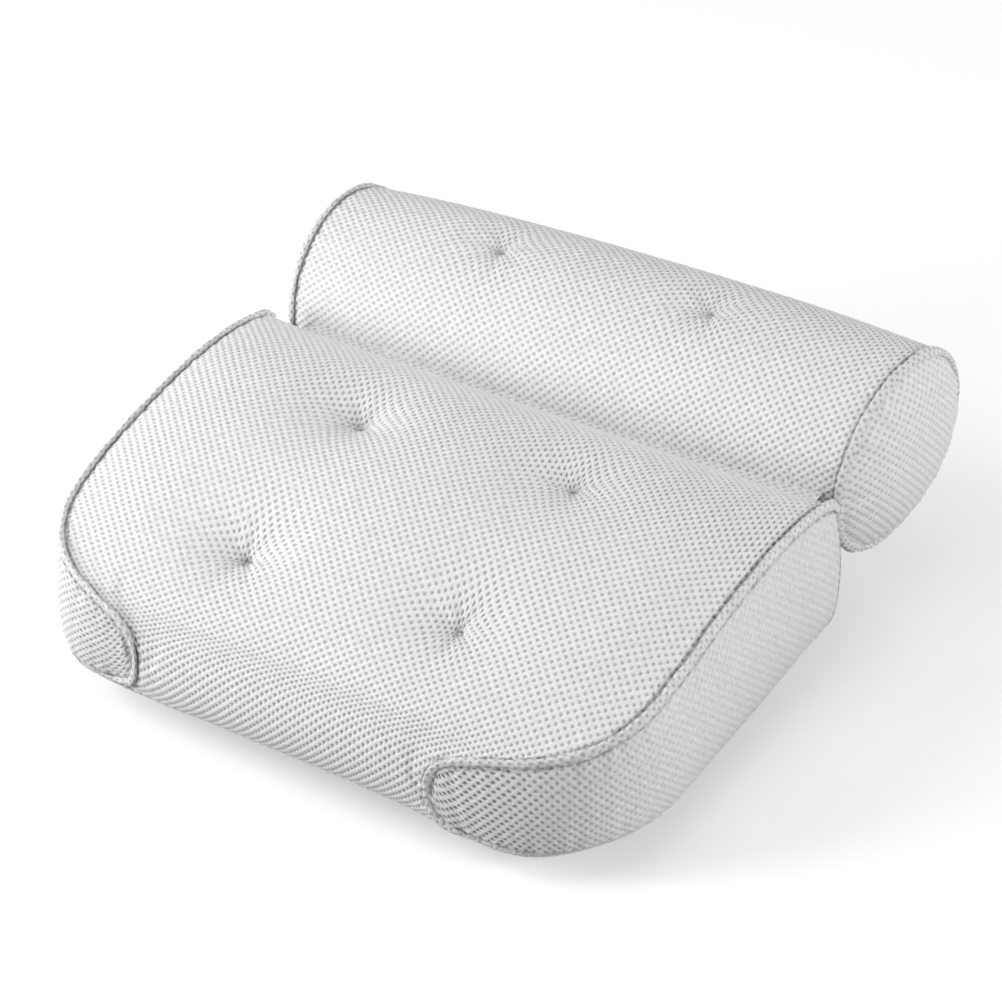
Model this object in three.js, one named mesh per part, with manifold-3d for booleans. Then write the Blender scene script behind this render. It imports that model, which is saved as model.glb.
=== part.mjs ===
// Bath pillow: a wedge cushion for the back and a neck roll behind it, sewn from knitted air mesh.
// Each cushion is a fabric cover with piped seams over layers of mesh filling, tufted with thread ties.
// Suction cups hang in fabric loops under both cushions, and the roll folds along the seam to the wedge.
// Millimetres, +X to the right, +Y to the back, +Z up. The origin is under the middle, at the cups' rims.
import * as THREE from 'three';
import { mergeVertices } from 'three/addons/utils/BufferGeometryUtils.js';
import Module from 'manifold-3d';

const wasm = await Module();
wasm.setup();

// Wedge cushion: Y runs from the front seam line to the back wall, Z from the underside of the cover.
const wedgeHalfWidth = 183;
const wedgeDepth = 236;
const seamHeight = 104;
const crownHeight = 112;
const gussetBulge = 6;
const backRecess = 4;
const baseSeamRise = 3;
const tongueSkew = 8;

// Neck roll: a round bolster, fuller in the middle than at its piped rims.
const rollMidRadius = 63;
const rollRimRadius = 57;
const rollHalfLength = 178;
const rollAxisHeight = 79;
const rollLeanAngle = THREE.MathUtils.degToRad(1);
// How far each end's seam lies beyond half the roll's length: all of it, more at its top and more at its
// back. Then how far the end panel bulges beyond the seam.
const rollLeftEnd = { out: 5, top: 1, back: 0, bulge: 13.5 };
const rollRightEnd = { out: 1, top: 5, back: 4.5, bulge: 16.5 };

// Fabric, seams and the clearances between sewn pieces.
const skinThickness = 2.4;
const pipingRadius = 2.5;
const sewnGap = 0.4;
const weltGap = 0.8;

// Fold between the cushions.
const foldGap = 9;
const foldAxisHeight = 84;
const flapThickness = 1.2;
const flapParting = 0.4;
const flapHalfWidth = 165;

// Tufts: dimples pulled in by thread ties. In the wedge: share of the half width, share of the way along
// the seam from the back to the front, and depth.
const wedgeTuftPlaces = [
  [-0.361, 0.2172, 14],
  [0.361, 0.2094, 10],
  [-0.367, 0.3861, 12.5],
  [0.361, 0.3789, 9.6],
];
const tuftWideRadius = 24;
const tuftTightRadius = 9;
const rollTuftDepth = 7;
const rollTuftShares = [-0.377, 0.36];
const tieRadius = 1.2;
const tieClearance = 0.4;

// Filling: three layers of mesh wadding in the wedge, a wrap around a core in the roll.
const fillingEdgeGap = 6;
const fillingFrontSetback = 9;
const lowerLayerTop = 22;
const middleLayerTop = 43;
const rollCoreRadius = 30;
const rollFillingEndGap = 4;

// Suction cups and the fabric loops that hold them.
const cupRimRadius = 25;
const cupRimWidth = 2.5;
const cupRimHeight = 1.2;
const cupHollowDepth = 3.6;
const cupShoulderRadius = 9;
const cupBodyHeight = 7.6;
const cupNeckRadius = 4;
const cupNeckLength = 2.8;
const cupKnobRadius = 7;
const cupKnobHeight = 2.8;
const cupNeckClearance = 0.4;
const cupHeadroom = 0.5;
const loopThickness = 1.8;
const loopWidth = 18;
const loopHalfSpan = 15;
const loopFoot = 7;
const wedgeCupSpreadShare = 0.6;
const wedgeCupFrontShare = 0.26;
const wedgeCupBackShare = 0.78;
const rollCupSpreadShare = 0.54;

// Seam line between the top panel and a side panel, from the back corner round the tongue to the underside:
// shares of the half width, of the depth and of the seam height, one station per line.
const seamShares = [
  [1.0, 0.996, 0.865],
  [1.0, 0.958, 0.94],
  [1.0, 0.873, 0.986],
  [1.0, 0.78, 1.0],
  [1.0, 0.652, 0.985],
  [1.0, 0.49, 0.924],
  [1.0, 0.343, 0.846],
  [0.984, 0.222, 0.762],
  [0.943, 0.145, 0.702],
  [0.874, 0.078, 0.649],
  [0.776, 0.034, 0.596],
  [0.667, 0.011, 0.548],
  [0.579, 0.002, 0.49],
  [0.525, -0.002, 0.413],
  [0.503, -0.002, 0.317],
  [0.503, 0.0, 0.212],
  [0.516, 0.003, 0.125],
  [0.546, 0.009, 0.063],
  [0.601, 0.015, 0.029],
];

// Middle line of the top panel at the same stations: shares of the depth and of the crown height.
const crownShares = [
  [1.0, 0.768],
  [0.96, 0.875],
  [0.882, 0.948],
  [0.785, 0.99],
  [0.665, 1.0],
  [0.5, 0.965],
  [0.352, 0.887],
  [0.232, 0.786],
  [0.15, 0.7],
  [0.09, 0.622],
  [0.045, 0.549],
  [0.025, 0.504],
  [0.008, 0.451],
  [-0.006, 0.379],
  [-0.012, 0.295],
  [-0.011, 0.201],
  [-0.002, 0.12],
  [0.017, 0.054],
  [0.051, 0.004],
];

// Lower edge of a side panel, from the tongue's foot back to the back corner: shares of the half width
// and of the depth, then the share of the depth that the middle of the underside has at that station.
const footShares = [
  [0.601, 0.015, 0.051],
  [0.71, 0.013, 0.07],
  [0.81, 0.032, 0.095],
  [0.89, 0.082, 0.135],
  [0.952, 0.155, 0.185],
  [0.989, 0.245, 0.255],
  [1.0, 0.343, 0.343],
  [1.0, 0.49, 0.49],
  [1.0, 0.652, 0.652],
  [1.0, 0.78, 0.78],
  [1.0, 0.873, 0.873],
  [1.0, 0.945, 0.945],
  [1.0, 0.982, 0.982],
];

// Columns across a cushion, as shares of the way from the middle to the seam; one passes by the tufts.
const columnShares = [0, 0.19, 0.364, 0.55, 0.73, 0.87, 0.95, 1];
const crownEdgeShare = 0.6;
const crownEdgePower = 9;

// Places along the seam, counted in stations from the back corner.
const lastStation = seamShares.length - 1;
const lastFootStation = footShares.length - 1;
const tongueTipStation = (29 / 36) * lastStation;
const tongueFootStation = (2 / 3) * lastStation;
const sidePanelEndStation = (13 / 18) * lastStation;
const skewStartStation = (4 / 9) * lastStation;
const skewEndStation = sidePanelEndStation;
const fillingFirstStation = (1 / 18) * lastStation;
const fillingLastStation = (5 / 9) * lastStation;
const hemStations = lastFootStation / 3;

// Places round the roll, and how finely each surface is divided.
const rollTuftAngle = THREE.MathUtils.degToRad(96);
const rollEndPower = 2.6;
const wideTuftShare = 0.6;
const baseColumnShares = [0, 1 / 4, 1 / 2, 3 / 4, 1];
const backRiseShares = [0, 1 / 3, 2 / 3, 1];
const pipingSides = 6;
const stepsPerStation = 2;
const stationStep = 1 / stepsPerStation;
const sideRiseShares = [0, 1 / 3, 2 / 3, 1];
const innerShare = 0.96;
const shiftPower = 4;
const tieSides = 8;
const cupSides = 20;
const rollSides = 24;
const rollFlatShare = Math.cos(Math.PI / rollSides);
const rollEndRingCount = 3;
const rollAngles = Array.from({ length: rollSides }, (_, i) => (i * 2 * Math.PI) / rollSides);

// Places that follow from the sizes.
const cupTopHeight = cupBodyHeight + cupNeckLength + cupKnobHeight;
const wedgeLift = cupTopHeight + cupHeadroom;
const foldAxisY = wedgeDepth + foldGap / 2;
const rollAxisY = wedgeDepth + foldGap + rollMidRadius;
const panelInset = pipingRadius + weltGap;
const wedgeHeart = new THREE.Vector3(0, wedgeDepth / 2, seamHeight / 2);
const nosePoint = Math.min(...crownShares.map((shares) => shares[0])) * wedgeDepth;
const middleY = (nosePoint + rollAxisY + rollMidRadius) / 2;

const airMesh = { color: 0xf1f1f0, roughness: 0.9, metalness: 0 };
const sideMesh = { color: 0xdcdcdb, roughness: 0.9, metalness: 0 };
const pipingCloth = { color: 0xe6e6e5, roughness: 0.85, metalness: 0 };
const wadding = { color: 0xf5f5f2, roughness: 0.95, metalness: 0 };
const thread = { color: 0xefefef, roughness: 0.7, metalness: 0 };
const clearVinyl = { color: 0xdfe8ea, roughness: 0.15, metalness: 0, transparent: true, opacity: 0.55 };

const pillow = new THREE.Group();
pillow.position.set(0, -middleY, wedgeLift);

function addPiece(name, geometry, finish) {
  const mesh = new THREE.Mesh(geometry, new THREE.MeshStandardMaterial(finish));
  mesh.name = name;
  pillow.add(mesh);
  return mesh;
}

// Smooth curves through the stations.
function smoothCurve(points) {
  return new THREE.CatmullRomCurve3(points, false, 'catmullrom', 0.5);
}

const seamCurve = smoothCurve(seamShares.map(([across, along, up]) => (
  new THREE.Vector3(across * wedgeHalfWidth, along * wedgeDepth, up * seamHeight))));
const crownCurve = smoothCurve(crownShares.map(([along, up]) => (
  new THREE.Vector3(0, along * wedgeDepth, up * crownHeight))));
const footCurve = smoothCurve(footShares.map(([across, along]) => (
  new THREE.Vector3(across * wedgeHalfWidth, along * wedgeDepth, baseSeamRise))));
const undersideCurve = smoothCurve(footShares.map((shares) => (
  new THREE.Vector3(0, shares[2] * wedgeDepth, 0))));

// The tongues are sewn a little to the left of true, more so towards their tips.
function skewed(point, side, amount) {
  return new THREE.Vector3(side * point.x - tongueSkew * amount, point.y, point.z);
}

function seamPoint(side, station) {
  const amount = THREE.MathUtils.smoothstep(station, skewStartStation, skewEndStation);
  return skewed(seamCurve.getPoint(station / lastStation), side, amount);
}

function footPoint(side, station) {
  const amount = 1 - THREE.MathUtils.smoothstep(station, 0, lastFootStation / 2);
  return skewed(footCurve.getPoint(station / lastFootStation), side, amount);
}

function dimple(distance, depth) {
  const wide = Math.exp(-((distance / tuftWideRadius) ** 2));
  const tight = Math.exp(-((distance / tuftTightRadius) ** 2));
  return depth * (wideTuftShare * wide + (1 - wideTuftShare) * tight);
}

// Top panel surface before tufting: across runs from -1 to 1, station from the back to the front hem.
function plainTopPoint(across, station) {
  const side = across < 0 ? -1 : 1;
  const reach = Math.abs(across);
  const seam = seamPoint(side, station);
  const crown = crownCurve.getPoint(station / lastStation);
  const fall = crownEdgeShare * reach ** crownEdgePower + (1 - crownEdgeShare) * reach ** 2;
  return new THREE.Vector3(
    seam.x * reach,
    THREE.MathUtils.lerp(crown.y, seam.y, reach ** 2),
    THREE.MathUtils.lerp(crown.z, seam.z, fall),
  );
}

const wedgeTufts = wedgeTuftPlaces.map(([across, share, depth]) => {
  const { x, y, z } = plainTopPoint(across, share * lastStation);
  return { x, y, z, depth };
});

function topPoint(across, station) {
  const point = plainTopPoint(across, station);
  for (const tuft of wedgeTufts) {
    point.z -= dimple(Math.hypot(point.x - tuft.x, point.y - tuft.y), tuft.depth);
  }
  return point;
}

// Side panel surface: station from the back corner to the tongue's tip, rise from the lower seam to the upper.
function lowerSeamStation(station) {
  const tipRun = (lastStation - tongueTipStation) / (tongueTipStation - tongueFootStation);
  return lastStation - (station - tongueFootStation) * tipRun;
}

function sideEdges(side, station) {
  const lower = station > tongueFootStation
    ? seamPoint(side, lowerSeamStation(station))
    : footPoint(side, tongueFootStation - station);
  return [lower, seamPoint(side, station)];
}

function sideMiddle(side, station) {
  const [lower, upper] = sideEdges(side, station);
  return lower.lerp(upper, 1 / 2);
}

function outward(side, station) {
  const step = 1 / lastStation;
  const ahead = sideMiddle(side, Math.min(station + step, tongueTipStation));
  const behind = sideMiddle(side, Math.max(station - step, 0));
  const run = ahead.sub(behind);
  return new THREE.Vector3(-run.y, run.x, 0).normalize().multiplyScalar(side);
}

function sidePoint(side, station, rise) {
  const [lower, upper] = sideEdges(side, station);
  const bulge = gussetBulge * lower.distanceTo(upper) / seamHeight * 4 * rise * (1 - rise);
  return lower.lerp(upper, rise).addScaledVector(outward(side, station), bulge);
}

// Underside surface: slack in the middle, drawn up a little to the seams.
function basePoint(across, station) {
  const side = across < 0 ? -1 : 1;
  const reach = Math.abs(across);
  const seam = footPoint(side, station);
  const middle = undersideCurve.getPoint(station / lastFootStation);
  return new THREE.Vector3(
    seam.x * reach,
    THREE.MathUtils.lerp(middle.y, seam.y, reach ** 2),
    seam.z * reach ** crownEdgePower,
  );
}

function backPoint(across, rise) {
  const upper = topPoint(across, 0);
  const point = basePoint(across, lastFootStation).lerp(upper, rise);
  point.y -= backRecess * 4 * rise * (1 - rise);
  return point;
}

// Neck roll surface: along runs from -1 to 1, the angle is measured from +Y towards +Z.
function rollRadius(along) {
  return rollMidRadius - (rollMidRadius - rollRimRadius) * Math.abs(along) ** rollEndPower;
}

// The roll lies a little higher at its right end.
function rollAxisAt(x) {
  return rollAxisHeight + x * Math.tan(rollLeanAngle);
}

// How far out the end on this side of the roll lies, rise and depth being shares of the rim's radius.
function endShift(x, rise, depth) {
  const { out, top, back } = x < 0 ? rollLeftEnd : rollRightEnd;
  return out + top * rise + back * depth;
}

// Every point of the roll moves along it by its share of the ends' slant.
function slantedX(x, y, z) {
  const shift = endShift(x, (z - rollAxisAt(x)) / rollRimRadius, (y - rollAxisY) / rollRimRadius);
  return x * (1 + shift / rollHalfLength);
}

function rollRadiusAt(x, angle) {
  return rollRadius(x / (rollHalfLength + endShift(x, Math.sin(angle), Math.cos(angle))));
}

function aroundRoll(x, radius, angle) {
  const y = rollAxisY + radius * Math.cos(angle);
  const z = rollAxisAt(x) + radius * Math.sin(angle);
  return new THREE.Vector3(slantedX(x, y, z), y, z);
}

function rollPoint(along, angle, inset = 0) {
  const x = along * rollHalfLength;
  let radius = rollRadius(along) - inset;
  const arc = rollMidRadius * Math.abs(angle - rollTuftAngle);
  for (const share of rollTuftShares) {
    const apart = x - share * rollHalfLength;
    radius -= dimple(Math.hypot(apart, arc), rollTuftDepth);
  }
  return aroundRoll(x, radius, angle);
}

// Solids from grids of points. An upper and a lower sheet are closed along their edges.
function gridIndex(columns, column, row) {
  return row * columns + column;
}

function pushQuad(index, a, b, c, d) {
  index.push(a, b, c, a, c, d);
}

function closedBody(points, index) {
  const geometry = new THREE.BufferGeometry();
  let volume = 0;
  for (let i = 0; i < index.length; i += 3) {
    const [a, b, c] = index.slice(i, i + 3).map((k) => points[k]);
    volume += a.dot(b.clone().cross(c));
  }
  const ordered = volume < 0 ? index.slice().reverse() : index;
  geometry.setAttribute('position', new THREE.Float32BufferAttribute(points.flatMap((p) => p.toArray()), 3));
  geometry.setIndex(ordered);
  return geometry;
}

function closedPatch(upper, lower, aroundClosed = false) {
  const rows = upper.length;
  const columns = upper[0].length;
  const points = [...upper.flat(), ...lower.flat()];
  const below = rows * columns;
  const index = [];
  const lastColumn = aroundClosed ? columns : columns - 1;
  for (let row = 0; row < rows - 1; row += 1) {
    for (let column = 0; column < lastColumn; column += 1) {
      const next = (column + 1) % columns;
      const a = gridIndex(columns, column, row);
      const b = gridIndex(columns, next, row);
      const c = gridIndex(columns, next, row + 1);
      const d = gridIndex(columns, column, row + 1);
      pushQuad(index, a, b, c, d);
      index.push(below + a, below + c, below + b, below + a, below + d, below + c);
    }
  }
  for (let column = 0; column < lastColumn; column += 1) {
    const next = (column + 1) % columns;
    const first = [gridIndex(columns, column, 0), gridIndex(columns, next, 0)];
    const last = [gridIndex(columns, column, rows - 1), gridIndex(columns, next, rows - 1)];
    pushQuad(index, first[1], first[0], below + first[0], below + first[1]);
    pushQuad(index, last[0], last[1], below + last[1], below + last[0]);
  }
  if (!aroundClosed) {
    for (let row = 0; row < rows - 1; row += 1) {
      const left = [gridIndex(columns, 0, row), gridIndex(columns, 0, row + 1)];
      const right = [gridIndex(columns, columns - 1, row), gridIndex(columns, columns - 1, row + 1)];
      pushQuad(index, left[0], left[1], below + left[1], below + left[0]);
      pushQuad(index, right[1], right[0], below + right[0], below + right[1]);
    }
  }
  return closedBody(points, index);
}

// A grid moved along its own normals, towards the middle of the wedge.
function gridNormals(grid) {
  const lastRow = grid.length - 1;
  return grid.map((line, row) => line.map((point, column) => {
    const run = grid[Math.min(row + 1, lastRow)][column].clone().sub(grid[Math.max(row - 1, 0)][column]);
    const right = line[Math.min(column + 1, line.length - 1)];
    return right.clone().sub(line[Math.max(column - 1, 0)]).cross(run).normalize();
  }));
}

function offsetInwards(grid, amount) {
  const normals = gridNormals(grid);
  const row = Math.floor(grid.length / 2);
  const column = Math.floor(grid[0].length / 2);
  const facing = normals[row][column].dot(wedgeHeart.clone().sub(grid[row][column]));
  return grid.map((line, i) => line.map((point, j) => (
    point.clone().addScaledVector(normals[i][j], Math.sign(facing) * amount))));
}

function skin(grid) {
  return closedPatch(grid, offsetInwards(grid, skinThickness));
}

// Booleans for bores.
function toSolid(geometry) {
  const bare = geometry.index ? geometry.clone() : geometry;
  bare.deleteAttribute('normal');
  bare.deleteAttribute('uv');
  const merged = mergeVertices(bare, sewnGap / 1000);
  return new wasm.Manifold(new wasm.Mesh({
    numProp: 3,
    vertProperties: new Float32Array(merged.attributes.position.array),
    triVerts: new Uint32Array(merged.index.array),
  }));
}

function fromSolid(solid) {
  const mesh = solid.getMesh();
  const geometry = new THREE.BufferGeometry();
  geometry.setAttribute('position', new THREE.Float32BufferAttribute(mesh.vertProperties, mesh.numProp));
  geometry.setIndex(new THREE.BufferAttribute(mesh.triVerts, 1));
  return geometry;
}

function bored(geometry, bores) {
  return fromSolid(bores.reduce((solid, bore) => solid.subtract(toSolid(bore)), toSolid(geometry)));
}

// A round bar between two points, turned by half a side so that its edges miss the lines of the grids.
function bar(from, to, radius, sides) {
  const run = to.clone().sub(from);
  const halfSide = Math.PI / sides;
  const geometry = new THREE.CylinderGeometry(radius, radius, run.length(), sides, 1, false, halfSide);
  const turn = new THREE.Quaternion().setFromUnitVectors(new THREE.Vector3(0, 1, 0), run.normalize());
  geometry.applyQuaternion(turn);
  const middle = from.clone().add(to).multiplyScalar(1 / 2);
  geometry.translate(middle.x, middle.y, middle.z);
  return geometry;
}

// Wedge cover. Panel edges stop short of the welt, square to it, by the same amount all along.
function signedColumns(shares) {
  return [...shares.slice(1).reverse().map((share) => -share), ...shares];
}

function stations(first, last) {
  return Array.from({ length: Math.round((last - first) * stepsPerStation) + 1 }, (_, i) => (
    first + i / stepsPerStation));
}

function edgeShift(edgeAt, innerPoint, station, last) {
  const ahead = edgeAt(Math.min(station + stationStep, last));
  const along = ahead.sub(edgeAt(Math.max(station - stationStep, 0))).normalize();
  const inwards = innerPoint.clone().sub(edgeAt(station));
  return inwards.addScaledVector(along, -inwards.dot(along)).setLength(panelInset);
}

function shiftedRow(surface, edge, station, last, shares) {
  const shift = {};
  for (const side of [-1, 1]) {
    shift[side] = edgeShift((place) => edge(side, place), surface(side * innerShare, station), station, last);
  }
  return signedColumns(shares).map((across) => (
    surface(across, station).addScaledVector(shift[Math.sign(across) || 1], Math.abs(across) ** shiftPower)));
}

function makeTopPanel() {
  const rows = stations(0, lastStation).map((station) => (
    shiftedRow(topPoint, seamPoint, station, lastStation, columnShares)));
  addPiece('wedge_top_panel', skin(rows), airMesh);
}

function makeSidePanel(side, name) {
  const upperEdge = (place) => sideEdges(side, place)[1];
  const lowerEdge = (place) => sideEdges(side, place)[0];
  const rows = stations(0, sidePanelEndStation).map((station) => {
    const middle = sidePoint(side, station, 1 / 2);
    const up = edgeShift(upperEdge, middle, station, tongueTipStation);
    const down = edgeShift(lowerEdge, middle, station, tongueTipStation);
    return sideRiseShares.map((rise) => (
      sidePoint(side, station, rise).addScaledVector(up, rise ** 2).addScaledVector(down, (1 - rise) ** 2)));
  });
  for (const point of rows[0]) point.y -= skinThickness + sewnGap;
  rows[rows.length - 1] = tongueTipRow(side);
  addPiece(name, skin(rows), sideMesh);
}

// The side panel's last row follows the welt round the tip of the tongue.
function tongueTipRow(side) {
  const lowest = lowerSeamStation(sidePanelEndStation);
  return sideRiseShares.map((rise) => {
    const place = THREE.MathUtils.lerp(lowest, sidePanelEndStation, rise);
    const within = sidePoint(side, tongueFootStation, rise);
    const shift = edgeShift((near) => seamPoint(side, near), within, place, lastStation);
    return seamPoint(side, place).add(shift);
  });
}

// The base panel's front edge lies behind the top panel's hem, and the rows after it catch up gradually.
function hemShift(across, station) {
  const reach = THREE.MathUtils.lerp(hemStations, 1, Math.abs(across));
  return skinThickness * 2 * Math.max(0, 1 - station / reach);
}

function makeBasePanel() {
  const rows = stations(0, lastFootStation).map((station) => (
    shiftedRow(basePoint, footPoint, station, lastFootStation, baseColumnShares)));
  stations(0, hemStations).forEach((station, i) => {
    signedColumns(baseColumnShares).forEach((across, j) => {
      rows[i][j].y += hemShift(across, station);
    });
  });
  for (const point of rows[rows.length - 1]) point.y -= skinThickness + sewnGap;
  addPiece('wedge_base_panel', skin(rows), airMesh);
}

function makeBackPanel() {
  const rows = backRiseShares.map((rise) => (
    signedColumns(columnShares).map((across) => {
      const point = backPoint(across, rise);
      point.x -= Math.sign(across) * Math.abs(across) ** shiftPower * panelInset;
      return point;
    })));
  for (const point of rows[rows.length - 1]) point.z -= skinThickness + sewnGap;
  addPiece('wedge_back_panel', skin(rows), airMesh);
}

// One welt runs round each side panel: down the top seam, round the tongue and back along the foot.
class StationCurve extends THREE.Curve {
  constructor(pointAt, last) {
    super();
    this.pointAt = pointAt;
    this.last = last;
  }

  getPoint(share) {
    return this.pointAt(share * this.last);
  }

  getUtoTmapping(share) {
    return share;
  }
}

function makeWedgePiping(side, name) {
  const last = lastStation + lastFootStation;
  const path = new StationCurve((place) => (
    place < lastStation ? seamPoint(side, place) : footPoint(side, place - lastStation)), last);
  addPiece(name, tube(path, pipingRadius, pipingSides, last * stepsPerStation), pipingCloth);
}

function circleShape(radius, sides) {
  const corners = [];
  for (let i = 0; i < sides; i += 1) {
    const angle = (i / sides) * 2 * Math.PI;
    corners.push(new THREE.Vector2(radius * Math.cos(angle), radius * Math.sin(angle)));
  }
  return new THREE.Shape(corners);
}

function tube(path, radius, sides, steps) {
  return new THREE.ExtrudeGeometry(circleShape(radius, sides), { steps, extrudePath: path });
}

// Filling of the wedge: a crowned layer over two plain ones, all with the same outline.
function fillingOutlinePoint(side, station) {
  const seam = seamPoint(side, station);
  const point = seam.clone().addScaledVector(outward(side, station), -fillingEdgeGap);
  point.y = Math.max(point.y, seamPoint(side, fillingLastStation).y + fillingFrontSetback);
  return point;
}

const fillingRows = stations(fillingFirstStation, fillingLastStation);

function fillingTopGrid() {
  return fillingRows.map((station) => signedColumns(columnShares).map((across) => {
    const side = Math.sign(across) || 1;
    const edge = fillingOutlinePoint(side, station);
    const reach = Math.min(Math.abs(across), Math.abs(edge.x) / Math.abs(seamPoint(side, station).x));
    const point = topPoint(side * reach, station);
    point.y = THREE.MathUtils.lerp(point.y, edge.y, Math.abs(across) ** 2);
    return point;
  }));
}

function tieBores(bottom, top) {
  return wedgeTufts.map((tuft) => bar(
    new THREE.Vector3(tuft.x, tuft.y, bottom),
    new THREE.Vector3(tuft.x, tuft.y, top),
    tieRadius + tieClearance,
    tieSides,
  ));
}

function makeWedgeFilling() {
  const upper = offsetInwards(fillingTopGrid(), skinThickness + sewnGap);
  const lower = upper.map((line) => line.map((point) => (
    new THREE.Vector3(point.x, point.y, middleLayerTop + sewnGap))));
  const crowned = closedPatch(upper, lower);
  addPiece('wedge_filling_top_layer', bored(crowned, tieBores(lowerLayerTop, crownHeight)), wadding);
  const outline = fillingOutline();
  const floor = skinThickness + sewnGap;
  const layers = [
    ['wedge_filling_middle_layer', lowerLayerTop + sewnGap, middleLayerTop],
    ['wedge_filling_base_layer', floor + baseSeamRise, lowerLayerTop],
  ];
  for (const [name, bottom, top] of layers) {
    const slab = new THREE.ExtrudeGeometry(outline, { depth: top - bottom, bevelEnabled: false });
    addPiece(name, slab, wadding).position.z = bottom;
  }
}

function fillingOutline() {
  const right = fillingRows.map((station) => fillingOutlinePoint(1, station));
  const left = fillingRows.map((station) => fillingOutlinePoint(-1, station)).reverse();
  const shape = new THREE.Shape([...right, ...left].map((point) => new THREE.Vector2(point.x, point.y)));
  for (const tuft of wedgeTufts) {
    const hole = circleShape(tieRadius + tieClearance, tieSides);
    const corners = hole.getPoints().map((corner) => new THREE.Vector2(corner.x + tuft.x, corner.y + tuft.y));
    shape.holes.push(new THREE.Path(corners));
  }
  return shape;
}

function makeWedgeTies() {
  const names = ['back_left', 'back_right', 'front_left', 'front_right'];
  wedgeTufts.forEach((tuft, i) => {
    const from = new THREE.Vector3(tuft.x, tuft.y, skinThickness + sewnGap);
    const to = new THREE.Vector3(tuft.x, tuft.y, tuft.z - tuft.depth - skinThickness - sewnGap);
    addPiece(`wedge_tuft_tie_${names[i]}`, bar(from, to, tieRadius, tieSides), thread);
  });
}

// Neck roll cover, ends, welts, filling and ties.
function rollColumns(endGap) {
  const limit = 1 - endGap / rollHalfLength;
  return signedColumns(columnShares).map((share) => Math.sign(share) * Math.min(Math.abs(share), limit));
}

function rollGrid(inset, endGap) {
  return rollColumns(endGap).map((along) => rollAngles.map((angle) => rollPoint(along, angle, inset)));
}

function makeRollCover() {
  const outer = rollGrid(0, pipingRadius);
  const inner = rollGrid(skinThickness, pipingRadius);
  addPiece('roll_cover', closedPatch(outer, inner, true), airMesh);
}

// Moves a piece's points to its end of the roll, slanted as that end is.
function atRollEnd(geometry, side) {
  geometry.translate(side * rollHalfLength, rollAxisY, rollAxisAt(side * rollHalfLength));
  const places = geometry.attributes.position;
  for (let i = 0; i < places.count; i += 1) {
    places.setX(i, slantedX(places.getX(i), places.getY(i), places.getZ(i)));
  }
  return geometry;
}

function makeRollEnd(side, name) {
  const radius = rollRimRadius - pipingRadius - sewnGap;
  const { bulge } = side < 0 ? rollLeftEnd : rollRightEnd;
  const outer = [];
  const inner = [];
  for (let ring = 0; ring <= rollEndRingCount; ring += 1) {
    const share = ring / rollEndRingCount;
    const rise = bulge * (1 - share ** rollEndPower);
    outer.push(new THREE.Vector2(share * radius, rise));
    inner.unshift(new THREE.Vector2(share * radius, rise - skinThickness));
  }
  const geometry = new THREE.LatheGeometry([...outer, ...inner].reverse(), rollSides);
  addPiece(name, atRollEnd(geometry.rotateZ(-side * Math.PI / 2), side), sideMesh);
}

function makeRollPiping(side, name) {
  const geometry = new THREE.TorusGeometry(rollRimRadius, pipingRadius, pipingSides, rollSides);
  addPiece(name, atRollEnd(geometry.rotateY(Math.PI / 2), side), pipingCloth);
}

function rollTuftPlaces() {
  return rollTuftShares.map((share) => {
    const x = share * rollHalfLength;
    const reach = rollRadius(share) * rollFlatShare - skinThickness - sewnGap;
    return {
      top: aroundRoll(x, reach - rollTuftDepth, rollTuftAngle),
      bottom: aroundRoll(x, -reach, rollTuftAngle),
    };
  });
}

function makeRollFilling() {
  const outer = rollGrid(skinThickness + sewnGap, rollFillingEndGap);
  const inner = rollColumns(rollFillingEndGap).map((along) => rollAngles.map((angle) => (
    aroundRoll(along * rollHalfLength, rollCoreRadius + sewnGap, angle))));
  const bores = rollTuftPlaces().map(({ top, bottom }) => {
    const run = top.clone().sub(bottom);
    const beyond = run.clone().multiplyScalar(rollTuftDepth / run.length());
    return bar(bottom.sub(beyond), top.add(beyond), tieRadius + tieClearance, tieSides);
  });
  addPiece('roll_filling_wrap', bored(closedPatch(outer, inner, true), bores), wadding);
  const half = rollHalfLength - rollFillingEndGap;
  const core = bar(aroundRoll(-half, 0, 0), aroundRoll(half, 0, 0), rollCoreRadius, rollSides);
  addPiece('roll_filling_core', bored(core, bores), wadding);
}

function makeRollTies() {
  const names = ['left', 'right'];
  rollTuftPlaces().forEach(({ top, bottom }, i) => {
    addPiece(`roll_tuft_tie_${names[i]}`, bar(bottom, top, tieRadius, tieSides), thread);
  });
}

// Joining flaps: two strips of fabric that meet on the fold line.
function addFlap(name, shape) {
  const geometry = new THREE.ExtrudeGeometry(shape, { depth: flapThickness, bevelEnabled: false });
  addPiece(name, geometry, sideMesh).position.z = foldAxisHeight - flapThickness / 2;
}

function makeFlaps() {
  const wedgeEdge = foldAxisY - flapParting;
  const rollEdge = foldAxisY + flapParting;
  const wall = wedgeDepth + sewnGap;
  addFlap('fold_flap_wedge', new THREE.Shape([
    new THREE.Vector2(-flapHalfWidth, wall),
    new THREE.Vector2(flapHalfWidth, wall),
    new THREE.Vector2(flapHalfWidth, wedgeEdge),
    new THREE.Vector2(-flapHalfWidth, wedgeEdge),
  ]));
  const farEdge = signedColumns(columnShares).map((share) => {
    const x = share * flapHalfWidth;
    const drop = foldAxisHeight - rollAxisAt(x);
    const radius = rollRadiusAt(x, Math.PI) + sewnGap;
    return new THREE.Vector2(x, rollAxisY - Math.sqrt(radius ** 2 - drop ** 2));
  });
  addFlap('fold_flap_roll', new THREE.Shape([
    new THREE.Vector2(flapHalfWidth, rollEdge),
    new THREE.Vector2(-flapHalfWidth, rollEdge),
    ...farEdge,
  ]));
}

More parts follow.
